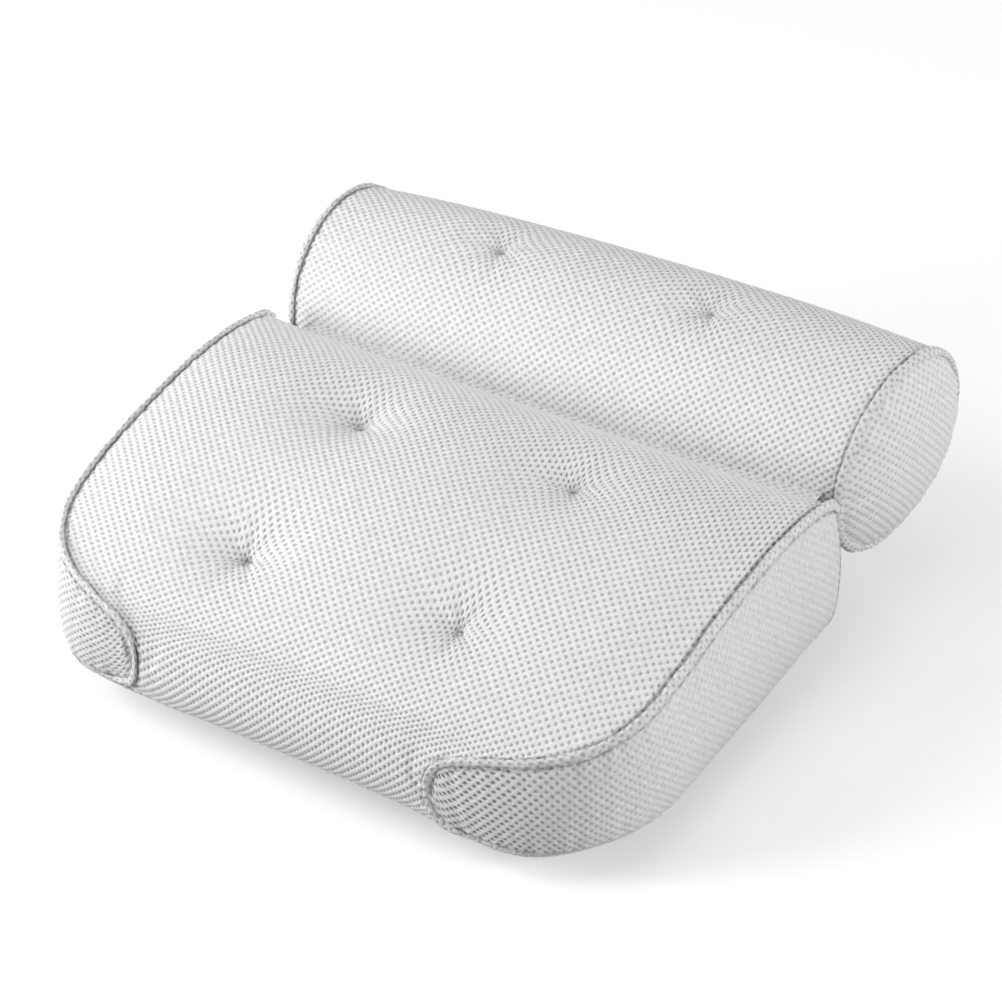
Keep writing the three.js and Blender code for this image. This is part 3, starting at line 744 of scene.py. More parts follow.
def fabric_sheet(name, lay, limits, along_span, relief, fields, flip=False, step=knit_step):
    """Lays the lattice on a surface, with an inner wall. limits(along) gives the ends of the line across."""
    along = np.clip(lattice_lines(*along_span, step), *along_span)
    low, high = limits(along)
    across = np.clip(lattice_lines(low.min(), high.max(), step)[None, :], low[:, None], high[:, None])
    along = np.broadcast_to(along[:, None], across.shape)
    normal = face_normals(lay, across, along) * (-1 if flip else 1)
    face = lay(across, along)
    outer = face + normal * relief(across, along)[..., None]
    inner = face - normal * wall_thickness
    faces = grid_faces(*across.shape)
    if flip:
        faces = faces[:, ::-1]
    values = {field: np.broadcast_to(value, across.shape).ravel()
              for field, value in zip(field_names, fields(across, along))}
    return welded_sheet(name, outer, inner, faces, across, along, values)


def welded_sheet(name, outer, inner, faces, across, along, values):
    """Points that fall together at the panel's edges become one, and a rim joins the two walls."""
    outer, inner = outer.reshape(-1, 3), inner.reshape(-1, 3)
    keys = np.round(outer / weld_reach).astype(np.int64)
    _, first, same = np.unique(keys, axis=0, return_index=True, return_inverse=True)
    same = same.reshape(-1)
    whole, own = [], []
    for face, welded in zip(faces.tolist(), same[faces].tolist()):
        kept = [i for i in range(4) if welded[i] != welded[i - 1]]
        if len(kept) > 2 and len({welded[i] for i in kept}) == len(kept):
            whole.append([welded[i] for i in kept])
            own.append([face[i] for i in kept])
    edges = {}
    for corners, places in zip(whole, own):
        for i in range(len(corners)):
            edges[corners[i - 1], corners[i]] = (places[i - 1], places[i])
    count = len(first)
    walls = whole + [[c + count for c in reversed(corners)] for corners in whole]
    maps = own + [list(reversed(places)) for places in own]
    for (start, end), (start_place, end_place) in edges.items():
        if (end, start) not in edges:
            walls.append([end, start, start + count, end + count])
            maps.append([end_place, start_place, start_place, end_place])
    piece = add_mesh(name, np.vstack([outer[first], inner[first]]), walls)
    write_map(piece, np.concatenate(maps), np.column_stack([across.ravel(), along.ravel()]) / knit_half_pitch)
    for field, value in values.items():
        write_field(piece, field, np.tile(value[first], 2))
    return piece


def write_field(piece, field, value):
    layer = piece.data.attributes.new(field, "FLOAT", "POINT")
    layer.data.foreach_set("value", np.broadcast_to(value, len(piece.data.vertices)).astype(np.float32))


def write_plain_fields(piece, stretch):
    """The fields of a piece that has neither a seam line nor a tuft."""
    for field, value in zip(field_names, (far_from_tufts, far_from_tufts, stretch)):
        write_field(piece, field, value)


def write_map(piece, corners, places):
    layer = piece.data.uv_layers.new(name="knit")
    layer.data.foreach_set("uv", places[corners].astype(np.float32).ravel())


# Materials. The knit's pattern comes from the map "knit", counted in half pitches.
def feed(tree, value, socket):
    """Links an output to the socket, or sets a plain value on it."""
    value = getattr(value, "socket", value)
    if isinstance(value, bpy.types.NodeSocket):
        tree.links.new(value, socket)
    else:
        socket.default_value = value


def new_socket(group, name, kind, value=None, out=False):
    way = "OUTPUT" if out else "INPUT"
    socket = group.interface.new_socket(name, in_out=way, socket_type=f"NodeSocket{kind}")
    if value is not None:
        socket.default_value = value


class Number:
    """A number in a node tree; each sum with it adds a node."""

    def __init__(self, tree, socket):
        self.tree, self.socket = tree, socket

    def made(self, operation, *values):
        node = self.tree.nodes.new("ShaderNodeMath")
        node.operation = operation
        for value, socket in zip(values, node.inputs):
            feed(self.tree, value, socket)
        return Number(self.tree, node.outputs[0])

    def __add__(self, other):
        return self.made("ADD", self, other)

    def __sub__(self, other):
        return self.made("SUBTRACT", self, other)

    def __rsub__(self, other):
        return self.made("SUBTRACT", other, self)

    def __mul__(self, other):
        return self.made("MULTIPLY", self, other)

    def larger(self, other):
        return self.made("MAXIMUM", self, other)

    def apart_from(self, other):
        return self.made("ABSOLUTE", self - other)

    def cosine(self):
        return self.made("COSINE", self)

    def sine(self):
        return self.made("SINE", self)

    def ranged(self, low, high):
        """A share from 0 to 1 becomes a value from low to high."""
        return self * (high - low) + low

    def mask(self, low, high):
        """0 up to low, 1 from high on, and smooth between them."""
        node = self.tree.nodes.new("ShaderNodeMapRange")
        node.interpolation_type = "SMOOTHSTEP"
        for name, value in (("Value", self), ("From Min", low), ("From Max", high)):
            feed(self.tree, value, node.inputs[name])
        return Number(self.tree, node.outputs["Result"])


def noise(tree, place, scale, detail=2):
    node = tree.nodes.new("ShaderNodeTexNoise")
    for name, value in (("Vector", place), ("Scale", scale), ("Detail", detail)):
        feed(tree, value, node.inputs[name])
    return Number(tree, node.outputs["Fac"])


def grey(level):
    return level, level, level, 1


def mixed_colour(tree, share, first, second):
    node = tree.nodes.new("ShaderNodeMix")
    node.data_type = "RGBA"
    for value, socket in zip((share, first, second), (node.inputs["Factor"], node.inputs[6], node.inputs[7])):
        feed(tree, value, socket)
    return node.outputs[2]


def new_group(name, **sockets):
    """A shader group with these inputs, which gives out a colour, a roughness and a height."""
    group = bpy.data.node_groups.new(name, "ShaderNodeTree")
    for socket, value in sockets.items():
        kind = "Vector" if value is None else "Color" if isinstance(value, tuple) else "Float"
        new_socket(group, socket.replace("_", " "), kind, value)
    for socket, kind in (("Colour", "Color"), ("Roughness", "Float"), ("Height", "Float")):
        new_socket(group, socket, kind, out=True)
    return group, group.nodes.new("NodeGroupInput").outputs, group.nodes.new("NodeGroupOutput").inputs


def knitted_mesh_group():
    """Holes between soft yarns, which join up into columns where the knit is stretched, and a fine rib. The
    holes' grey is painted shade of their depth; the crease beside the welt and each tuft's pinch get painted
    shade too.
    """
    group, given, result = new_group(
        "knitted_mesh", Knit=None, Place=None, Yarn=grey(0.9), Hole=grey(0.4), Stretch=0.5, Edge=0.05,
        Pinch=0.05, Hole_Size=0.5, Seam_Line=0.5, Mottle=0.3, Ribs=0.6)
    place = given["Place"]
    stretch, edge, pinch, size, painted_seam_shade, mottle, joining = (
        Number(group, given[name])
        for name in ("Stretch", "Edge", "Pinch", "Hole Size", "Seam Line", "Mottle", "Ribs"))
    apart = group.nodes.new("ShaderNodeSeparateXYZ")
    feed(group, given["Knit"], apart.inputs[0])
    across, along = (Number(group, apart.outputs[axis]) for axis in "XY")

    # Where the holes are, and the grey painted into them as shade.
    chequers = (across * math.pi).cosine() * (along * math.pi).cosine()
    columns = (across * (2 * math.pi)).cosine()
    wave = chequers + (columns - chequers) * (stretch.mask(*joining_stretch) * joining)
    ragged = (noise(group, place, hole_rim_noise) - 0.5) * hole_rim_raggedness
    start = hole_start - size
    hole = (wave + ragged).mask(start, start + hole_softness)
    uneven = noise(group, given["Knit"], hole_noise, 1).ranged(*hole_unevenness)
    seen = hole * (stretch * uneven)
    tinted = mixed_colour(group, seen, given["Yarn"], given["Hole"])

    # Painted shade in the crease beside the welt, broken up, and painted shade in a tuft's pinch.
    line = 1 - edge.apart_from(painted_seam_shade_distance).mask(*painted_seam_shade_reach)
    broken = noise(group, place, painted_seam_shade_noise).mask(*painted_seam_shade_gaps).ranged(*painted_seam_shade_strengths)
    # Painted shade in the middle of a tuft's pinch.
    pinch_shade_mask = 1 - pinch.mask(*painted_pinch_shade_reach)
    dark = 1 - (line * (broken * painted_seam_shade)).larger(pinch_shade_mask * painted_pinch_shade)

    # Uneven yarn.
    fibres = noise(group, place, yarn_noise, 3)
    tone = noise(group, place, tone_noise, 3).ranged(*cloth_tones)
    specks = (noise(group, place, speck_noise, 2) - 0.5) * mottle + 1
    shade = group.nodes.new("ShaderNodeVectorMath")
    shade.operation = "SCALE"
    feed(group, tinted, shade.inputs[0])
    feed(group, tone * specks * fibres.ranged(*yarn_tones) * dark, shade.inputs["Scale"])
    feed(group, shade.outputs[0], result["Colour"])
    feed(group, fibres.ranged(*yarn_roughness), result["Roughness"])
    rib, cross_rib = ((slant * (4 * math.pi)).sine() for slant in (across + along, across - along))
    height = rib.larger(cross_rib) * rib_height + fibres * fuzz_height - hole * hole_height
    feed(group, height, result["Height"])
    return group


def fibre_group():
    """Loose fibres or twisted yarn: tone and height from stretched noise."""
    group, given, result = new_group("loose_fibres", Place=None, Light=grey(0.9), Dark=grey(0.6))
    coarse = noise(group, given["Place"], coarse_fibre_noise, 4)
    fine = noise(group, given["Place"], fine_fibre_noise, 2)
    colour = mixed_colour(group, coarse.mask(*fibre_gaps), given["Dark"], given["Light"])
    feed(group, colour, result["Colour"])
    feed(group, fine.ranged(*fibre_roughness), result["Roughness"])
    feed(group, fine * fine_fibre_height + coarse, result["Height"])
    return group


def new_material(name, **sockets):
    material = bpy.data.materials.new(name)
    material.use_nodes = True
    shader = material.node_tree.nodes["Principled BSDF"]
    for socket, value in sockets.items():
        shader.inputs[socket.replace("_", " ")].default_value = value
    return material, material.node_tree, shader


def object_place(tree):
    return tree.nodes.new("ShaderNodeTexCoord").outputs["Object"]


def add_bump(tree, shader, height, distance, strength):
    bump = tree.nodes.new("ShaderNodeBump")
    for name, value in (("Strength", strength), ("Distance", distance), ("Height", height)):
        feed(tree, value, bump.inputs[name])
    feed(tree, bump.outputs[0], shader.inputs["Normal"])


def use_group(tree, shader, group, bump_distance, bump_strength, **sockets):
    """Places the group and feeds its colour, roughness and height to the shader."""
    node = tree.nodes.new("ShaderNodeGroup")
    node.node_tree = group
    for socket, value in sockets.items():
        node.inputs[socket.replace("_", " ")].default_value = value
    feed(tree, object_place(tree), node.inputs["Place"])
    if "Knit" in node.inputs:
        knit = tree.nodes.new("ShaderNodeUVMap")
        knit.uv_map = "knit"
        feed(tree, knit.outputs[0], node.inputs["Knit"])
        for field in field_names:
            read = tree.nodes.new("ShaderNodeAttribute")
            read.attribute_name = field
            feed(tree, read.outputs["Fac"], node.inputs[field.capitalize()])
    feed(tree, node.outputs["Colour"], shader.inputs["Base Color"])
    feed(tree, node.outputs["Roughness"], shader.inputs["Roughness"])
    add_bump(tree, shader, node.outputs["Height"], bump_distance, bump_strength)


# The hole tone is grey painted into the holes as shade, and line is the strength of the painted seam shade.
def knit_material(name, yarn, hole, size, line, mottle, ribs):
    material, tree, shader = new_material(name, Sheen_Weight=0.1, Sheen_Roughness=0.5)
    use_group(tree, shader, knitted_mesh, *knit_bump, Yarn=(yarn, yarn, yarn * yarn_blue, 1),
              Hole=grey(hole), Hole_Size=size, Seam_Line=line, Mottle=mottle, Ribs=ribs)
    return material


def fibre_material(name, light, dark, bump):
    material, tree, shader = new_material(name, Sheen_Weight=0.2)
    use_group(tree, shader, loose_fibres, bump, fibre_bump_strength, Light=(*light, 1), Dark=(*dark, 1))
    return material


def vinyl_material():
    """Clear soft plastic, a little milky where it is scuffed."""
    material, tree, shader = new_material(
        "clear_vinyl", Transmission_Weight=0.92, IOR=1.47, Specular_IOR_Level=0.5)
    scuff = noise(tree, object_place(tree), scuff_noise, 4).mask(*scuff_edges)
    feed(tree, mixed_colour(tree, scuff, vinyl_clear, vinyl_scuffed), shader.inputs["Base Color"])
    feed(tree, scuff.ranged(*vinyl_roughness), shader.inputs["Roughness"])
    add_bump(tree, shader, scuff, *vinyl_bump)
    return material


knitted_mesh = knitted_mesh_group()
loose_fibres = fibre_group()
# Yarn tone, grey of the holes as painted shade, size of the holes, strength of the painted seam shade,
# mottle, and how far the holes join.
air_mesh_white = knit_material("air_mesh_white", 0.945, 0.38, 0.43, 0.5, 0.25, 0.55)
# The same white knit, greyed as painted shade for the side panels, underside, back wall and folding strip.
side_mesh_painted_shade = knit_material("side_mesh_painted_shade", 0.855, 0.3, 0.5, 0.5, 0.4, 0.3)
end_mesh_pale = knit_material("end_mesh_pale", 0.93, 0.4, 0.45, 0, 0.35, 0.5)
piping_mesh = knit_material("piping_mesh", 0.88, 0.5, 0.45, 0, 0.5, 0)
sewing_thread = fibre_material("sewing_thread", (0.88, 0.88, 0.87), (0.7, 0.7, 0.69), 0.15 * mm)
mesh_wadding = fibre_material("mesh_wadding", (0.9, 0.9, 0.88), (0.72, 0.72, 0.7), 1.2 * mm)
clear_vinyl = vinyl_material()


# Panels. Lengths along a panel are measured on the fabric, so the knit keeps its size.
def line_length(points):
    return np.concatenate([[0], np.cumsum(np.linalg.norm(np.diff(points, axis=0), axis=1))])


def held_edges(shape):
    held = np.zeros(shape, bool)
    held[[0, -1], :] = True
    held[:, [0, -1]] = True
    return held


def measured(line, last, samples):
    """The length of a line, the station at each length along it, and the length at each station."""
    stations = np.linspace(0, last, samples)
    runs = line_length(line(stations))

    def station_at(along):
        return np.interp(along, runs, stations)

    def run_at(station):
        return np.interp(station, stations, runs)

    return runs[-1], station_at, run_at


def edge_distance(across, along, limits):
    """Distance to the nearer side edge, square to it as far as its slope tells."""
    low, high = limits(along)
    ahead_low, ahead_high = limits(along + knit_step)
    nearer_low = across - low < high - across
    gap = np.where(nearer_low, across - low, high - across)
    slope = np.where(nearer_low, ahead_low - low, ahead_high - high) / knit_step
    return gap / np.sqrt(1 + slope ** 2)


def tuft_relief(points, tufts):
    """Small folds that run into each tuft, and the pinch of the thread in its middle."""
    total = np.zeros(points.shape[:-1])
    for number, tuft in enumerate(tufts):
        apart = points - tuft
        distance = np.linalg.norm(apart, axis=-1)
        angle = np.arctan2(-apart[..., 1], apart[..., 0])
        beat = (np.cos(tuft_fold_count * angle + tuft_fold_turn * number)
                + coarse_fold_share * np.cos(coarse_fold_count * angle - number))
        ring = np.exp(-(((distance - tuft_fold_reach) / tuft_fold_reach) ** 2))
        total += tuft_fold_depth * beat * ring * np.minimum(1, distance / tuft_tight_radius)
        total -= tuft_pinch_depth * np.exp(-((distance / tuft_pinch_radius) ** 2))
    return total


def drawn_in(across, along, tufts):
    """The knit is pulled towards each tuft, so that its lines run together there."""
    moved_across, moved_along = across, along
    for tuft_across, tuft_along in tufts:
        right, ahead = across - tuft_across, along - tuft_along
        pull = tuft_pull_share * np.exp(-(right ** 2 + ahead ** 2) / tuft_pull_reach ** 2)
        moved_across, moved_along = moved_across - right * pull, moved_along - ahead * pull
    return moved_across, moved_along


def near_crest(past_crest):
    return np.exp(-((past_crest / crest_reach) ** 2))


def cover_openness(pinch, drawn, across):
    """How open the knit is, which sets how much of the holes' painted shade shows: most round the tufts and
    where it is drawn over a crest or the front, and a little more on the right, which paints the right side
    darker as shade."""
    at_tuft = np.exp(-((pinch / tuft_wide_radius) ** 2))
    drawn_out = tuft_stretch * at_tuft + drawn_stretch * drawn * (1 - at_tuft)
    return cover_stretch + drawn_out + right_painted_shade * across / wedge_half_width


def tuft_distance(points, tufts):
    return np.min([np.linalg.norm(points - tuft, axis=-1) for tuft in tufts], axis=0)


def finish_piece(piece, body, nodes, material):
    piece.data.materials.clear()
    piece.data.materials.append(material)
    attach(piece, body)
    if nodes:
        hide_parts(*nodes)
    return piece


# Wedge top panel: from the back edge over the crown and down the front to the hem.
top_length, top_station, top_run = measured(
    lambda stations: plain_top_point(0.5, stations), last_station, fine_samples)


def top_limits(along):
    station = top_station(along)
    return seam_point(-1, station)[..., 0], seam_point(1, station)[..., 0]


def top_face(reach, along):
    return top_point(reach, top_station(along)) + to_frame


def make_top_panel():
    tufts = tuft_centres()
    rows = round(top_length / sim_step)
    columns = round(2 * wedge_half_width / sim_step) | 1
    reach, run = np.meshgrid(np.linspace(-1, 1, columns), np.linspace(0, top_length, rows))
    grid = top_face(reach, run)
    held = held_edges(grid.shape[:2]) | (tuft_distance(grid, tufts) < tuft_hold_reach)
    move = swollen("wedge_top_cloth", grid, held, swell_cap, flip=True)
    centres = [(across * seam_point(1, station)[0], top_run(station))
               for across, station, _ in wedge_tuft_places]

    def lay(across, along):
        across, along = drawn_in(across, along, centres)
        reach = reach_between(across, *top_limits(along))
        row = np.clip(along / top_length, 0, 1) * (rows - 1)
        return top_face(reach, along) + sampled(move, row, (reach + 1) / 2 * (columns - 1))

    crest_run, front_runs = top_run(wedge_crest_station), top_run(front_stations)

    def relief(across, along):
        edge = np.minimum(edge_distance(across, along, top_limits), np.minimum(along, top_length - along))
        creases = tuft_relief(lay(across, along), tufts)
        return sewn_relief(across, along, edge, along) + creases

    def fields(across, along):
        pinch = tuft_distance(lay(across, along), tufts)
        edge = edge_distance(across, along, top_limits)
        drawn = near_crest(along - crest_run) + front_stretch_and_shade * smooth_step(along, *front_runs)
        return edge, pinch, cover_openness(pinch, drawn, across)

    panel = fabric_sheet("wedge_top", lay, top_limits, (0, top_length), relief, fields, flip=True)
    finish_piece(panel, "wedge", ["wedge_top_panel"], air_mesh_white)


# Wedge side panels: from the back corner forward and round into the tongue.
def make_side_panel(side, name):
    length, station_at, _ = measured(
        lambda stations: side_point(side, stations, 0.5), tongue_tip_station, side_samples)

    def limits(along):
        lower, upper = side_edges(side, station_at(along))
        height = np.linalg.norm(upper - lower, axis=-1)
        return 0 * height, height

    rows = round(length / sim_step)
    columns = round(seam_height / sim_step) | 1
    rise, run = np.meshgrid(np.linspace(0, 1, columns), np.linspace(0, length, rows))
    grid = side_point(side, station_at(run), rise) + to_frame
    free = grid[:-1]
    held = held_edges(free.shape[:2])
    move = swollen(f"side_{name}_cloth", free, held, gusset_swell_cap, flip=side < 0)

    def lay(across, along):
        height = limits(along)[1]
        rise = np.clip(across / np.maximum(height, weld_reach), 0, 1)
        row = np.clip(along / length * (rows - 1), 0, rows - 2)
        face = side_point(side, station_at(along), rise) + to_frame
        return face + sampled(move, row, rise * (columns - 1))

    def stretch_at(along):
        return side_stretch + tongue_stretch_and_shade[side] * smooth_step(along / length, *tongue_start_shares)

    def relief(across, along):
        edge = np.minimum(edge_distance(across, along, limits), along)
        return sewn_relief(across, along, edge, along + side_pucker_start, stretch_at(along))

    def fields(across, along):
        return edge_distance(across, along, limits), far_from_tufts, stretch_at(along)

    panel = fabric_sheet(f"wedge_side_{name}", lay, limits, (0, length), relief, fields, flip=side < 0)
    node = f"wedge_side_panel_{name}"
    finish_piece(panel, "wedge", [node], side_mesh_painted_shade)


# Wedge underside and back wall.
def make_base_panel():
    length, station_at, _ = measured(
        lambda stations: base_point(0.5, stations), last_foot_station, base_samples)

    def limits(along):
        return foot_point(-1, station_at(along))[..., 0], foot_point(1, station_at(along))[..., 0]

    def lay(across, along):
        return base_point(reach_between(across, *limits(along)), station_at(along)) + to_frame

    def relief(across, along):
        return 0 * across

    def fields(across, along):
        return edge_distance(across, along, limits), far_from_tufts, base_stretch

    panel = fabric_sheet("wedge_base", lay, limits, (0, length), relief, fields, flip=True, step=base_step)
    finish_piece(panel, "wedge", ["wedge_base_panel"], side_mesh_painted_shade)


def make_back_panel():
    height = np.linalg.norm(np.subtract(*back_point(np.full(2, 0.5), np.array([0, 1]))))

    def limits(along):
        return [back_point(np.full(np.shape(along), side), along / height)[..., 0] for side in (-1.0, 1.0)]

    def lay(across, along):
        reach = reach_between(across, *limits(along))
        return back_point(reach, np.clip(along / height, 0, 1)) + to_frame

    def relief(across, along):
        edge = np.minimum(edge_distance(across, along, limits), np.minimum(along, height - along))
        return sewn_relief(across, along, edge, across, back_relief_stretch)

    def fields(across, along):
        return edge_distance(across, along, limits), far_from_tufts, back_stretch

    panel = fabric_sheet("wedge_back", lay, limits, (0, height), relief, fields, flip=True)
    finish_piece(panel, "wedge", ["wedge_back_panel"], side_mesh_painted_shade)


# Neck roll cover and its puffed ends.
roll_rounds = 2 * round(math.pi * roll_mid_radius / knit_half_pitch)
roll_round_length = roll_rounds * knit_half_pitch


def roll_tuft_centres():
    return [roll_point(np.array(share), np.array(roll_tuft_angle)) for share in roll_tuft_shares]


def make_roll_cover():
    tufts = roll_tuft_centres()
    rows = round(roll_round_length / sim_step)
    columns = round(2 * roll_half_length / sim_step) | 1
    turns = np.arange(rows) / rows * 2 * math.pi
    reach, angle = np.meshgrid(np.linspace(-1, 1, columns), turns - math.pi / 2)
    grid = roll_point(reach, angle)
    held = tuft_distance(grid, tufts) < tuft_hold_reach
    held[:, [0, -1]] = True
    move = swollen("roll_cloth", grid.swapaxes(0, 1), held.swapaxes(0, 1), roll_swell_cap, wrap=True)

    def limits(along):
        return -roll_half_length + 0 * along, roll_half_length + 0 * along

    tuft_turn = (roll_tuft_angle + math.pi / 2) / (2 * math.pi)
    centres = [(share * roll_half_length, tuft_turn * roll_round_length) for share in roll_tuft_shares]

    def lay(across, along):
        across, along = drawn_in(across, along, centres)
        reach = np.clip(across / roll_half_length, -1, 1)
        turn = along / roll_round_length
        angle = turn * 2 * math.pi - math.pi / 2
        swell = sampled(move, (reach + 1) / 2 * (columns - 1), turn * rows, wrap=True)
        return roll_point(reach, angle) + swell

    def relief(across, along):
        edge = roll_half_length - np.abs(across)
        creases = tuft_relief(lay(across, along), tufts)
        return sewn_relief(across, along, edge, along) + creases

    def fields(across, along):
        pinch = tuft_distance(lay(across, along), tufts)
        past_crest = along - (roll_crest_angle / (2 * math.pi) + 0.25) * roll_round_length
        openness = cover_openness(pinch, near_crest(past_crest), across)
        return roll_half_length - np.abs(across), pinch, openness

    panel = fabric_sheet("roll_barrel", lay, limits, (0, roll_round_length), relief, fields, flip=True)
    finish_piece(panel, "roll", ["roll_cover"], air_mesh_white)


def roll_end_middle(side):
    return roll_axis + (0, 0, roll_axis_rise(side * roll_half_length))


def make_roll_end(side, name):
    radius = roll_rim_radius
    middle = roll_end_middle(side)
    bulge = (roll_left_end if side < 0 else roll_right_end)[3]

    def limits(along):
        half = np.sqrt(np.maximum(0, radius ** 2 - along ** 2))
        return -half, half

    def lay(across, along):
        share = np.minimum(1, np.hypot(across, along) / radius)
        angle = np.arctan2(along, across)
        waves = (np.sin(count * angle + turn) for count, turn in zip(end_pleat_counts, (side, 0)))
        beat = sum(part * wave for part, wave in zip(end_pleat_shares, waves))
        away = share ** end_pleat_start_power * (1 - share ** end_pleat_rim_power)
        ripple = end_pleat_depth * away * beat
        rise = bulge * (1 - share ** roll_end_power) + ripple
        return slanted(np.stack([side * (roll_half_length + rise), across, along], axis=-1) + middle)

    def relief(across, along):
        edge = radius - np.hypot(across, along)
        return sewn_relief(across, along, edge, 0 * across, end_relief_stretch)

    def fields(across, along):
        return far_from_tufts, far_from_tufts, end_stretch

    panel = fabric_sheet(f"roll_end_{name}", lay, limits, (-radius, radius), relief, fields, flip=side < 0)
    finish_piece(panel, "roll", [f"roll_end_panel_{name}"], end_mesh_pale)


# Welts: a mesh strip wrapped round a cord and sewn into the seam.
def even_steps(points, step, closed=False):
    line = np.vstack([points, points[:1]]) if closed else points
    run = line_length(line)
    places = np.linspace(0, run[-1], max(fewest_tube_steps, round(run[-1] / step)) + 1)
    even = np.column_stack([np.interp(places, run, line[:, axis]) for axis in range(3)])
    return (even[:-1], places[:-1]) if closed else (even, places)


def cross_frames(points, outward_hint, closed):
    if closed:
        ahead = np.roll(points, -1, 0) - np.roll(points, 1, 0)
    else:
        ahead = np.gradient(points, axis=0)
    ahead /= np.linalg.norm(ahead, axis=1, keepdims=True)
    out = outward_hint - ahead * np.sum(outward_hint * ahead, axis=1, keepdims=True)
    out /= np.linalg.norm(out, axis=1, keepdims=True)
    return out, np.cross(ahead, out)


def make_welt(name, body, node, points, hint, closed=False, slim=None):
    """A tube with an oval section and the knit's holes; hint is the way out of the cushion at each point."""
    points, places = even_steps(points, welt_pitch / 2, closed)
    out, sideways = cross_frames(points, hint(points), closed)
    columns = 2 * welt_rounds
    angle = np.arange(columns) / columns * 2 * math.pi
    wave = np.cos(math.pi * places / welt_pitch)[:, None] * np.cos(math.pi * np.arange(columns) / 2)
    lumps = welt_lump * sum(np.sin(places / length) for length in welt_lump_lengths)[:, None]
    fuzz = np.random.default_rng(welt_seed).uniform(-welt_fuzz, welt_fuzz, wave.shape)
    grow = lumps + fuzz - welt_hole_depth * np.maximum(0, wave)
    shape = np.ones(len(points))
    if not closed:
        from_end = np.minimum(places, places[-1] - places) / welt_half_height
        shape = np.sqrt(np.clip(1 - (1 - np.minimum(1, from_end)) ** 2, 0, 1))
    if slim is not None:
        shape = shape * slim(places)
    wide = shape[:, None] * (welt_half_width + grow) * np.cos(angle)
    high = shape[:, None] * (welt_half_height + grow) * np.sin(angle)
    rings = points[:, None] + sideways[:, None] * wide[..., None] + out[:, None] * high[..., None]
    if not closed:
        rings = rings[1:-1]
    rows = len(rings)
    row, column = np.meshgrid(np.arange(rows if closed else rows - 1), np.arange(columns), indexing="ij")
    corners = [(row + down, column + right) for down, right in ((0, 0), (1, 0), (1, 1), (0, 1))]
    faces = np.stack([down % rows * columns + right % columns for down, right in corners], -1)
    faces = faces.reshape(-1, 4).tolist()
    maps = np.stack([np.stack([right, down], -1) / 2 for down, right in corners], -2).reshape(-1, 2)
    if not closed:
        ring = list(range(columns))
        faces += [ring, [(rows - 1) * columns + place for place in reversed(ring)]]
        maps = np.vstack([maps, np.zeros((2 * columns, 2))])
    piece = add_mesh(name, rings, faces)
    write_map(piece, np.arange(len(maps)), maps)
    write_plain_fields(piece, welt_stretch)
    finish_piece(piece, body, [node], piping_mesh)


def make_wedge_welt(side, name):
    upper = seam_point(side, np.linspace(0, last_station, seam_samples))
    lower = foot_point(side, np.linspace(0, last_foot_station, foot_samples))
    path = np.vstack([upper, lower[1:]]) + to_frame
    upper_run = line_length(upper)[-1]

    def hint(points):
        return points - (np.array([0, wedge_depth / 2, seam_height / 2]) + to_frame)

    def slim(places):
        return 1 - lower_welt_slimming * smooth_step(places - upper_run, lower_welt_start, lower_welt_end)

    make_welt(f"wedge_welt_{name}", "wedge", f"wedge_piping_{name}", path, hint, slim=slim)


def roll_rim_path(side, beyond):
    """The seam round an end of the roll, or a line beside it."""
    angle = np.arange(line_samples) / line_samples * 2 * math.pi
    circle = np.stack([0 * angle, np.cos(angle), np.sin(angle)], axis=-1) * roll_rim_radius
    return slanted(circle + roll_end_middle(side) + (side * (roll_half_length + beyond), 0, 0))


def make_roll_welt(side, name):
    def hint(points):
        out = points - roll_end_middle(side)
        out[:, 0] = side * roll_rim_radius
        return out

    make_welt(f"roll_welt_{name}", "roll", f"roll_piping_{name}", roll_rim_path(side, 0), hint, closed=True)


# Folding strip between the cushions.
def make_fold_strip():
    columns = round(2 * flap_half_width / knit_step) + 1
    across, share = np.meshgrid(
        np.linspace(-flap_half_width, flap_half_width, columns), np.linspace(0, 1, fold_rows))
    wall = wedge_depth - middle_y - fold_tuck
    drop = fold_z - roll_axis[2] - roll_axis_rise(across)
    radius = roll_radius_at(across, math.pi) - fold_tuck
    far = roll_axis[1] - np.sqrt(radius ** 2 - drop ** 2)
    y = wall + (far - wall) * share
    wave = knit_relief(across, y) * fold_relief_share
    upper = np.stack([across, y, fold_z + flap_thickness / 2 + wave], axis=-1)
    lower = np.stack([across, y, fold_z - flap_thickness / 2 + 0 * wave], axis=-1)
    piece = welded_sheet("fold_strip", upper, lower, grid_faces(*across.shape), across, y, {})
    write_plain_fields(piece, fold_stretch)
    piece.data.materials.append(side_mesh_painted_shade)
    fold_y - fold_reach
    fold_y + fold_reach
    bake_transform(piece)
    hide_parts("fold_flap_wedge", "fold_flap_roll")


# Suction cups and their loops.
def rounded(points, radius):
    """The outline with each inner corner rounded off."""
    points = [np.array(p, float) for p in points]
    line = [points[0]]
    for before, corner, after in zip(points, points[1:], points[2:]):
        ways = (before - corner, after - corner)
        cut = min(radius, *(np.linalg.norm(way) / corner_room for way in ways))
        start, end = (corner + way / np.linalg.norm(way) * cut for way in ways)
        for t in np.linspace(0, 1, corner_points):
            line.append((1 - t) ** 2 * start + 2 * t * (1 - t) * corner + t ** 2 * end)
    return line + [points[-1]]


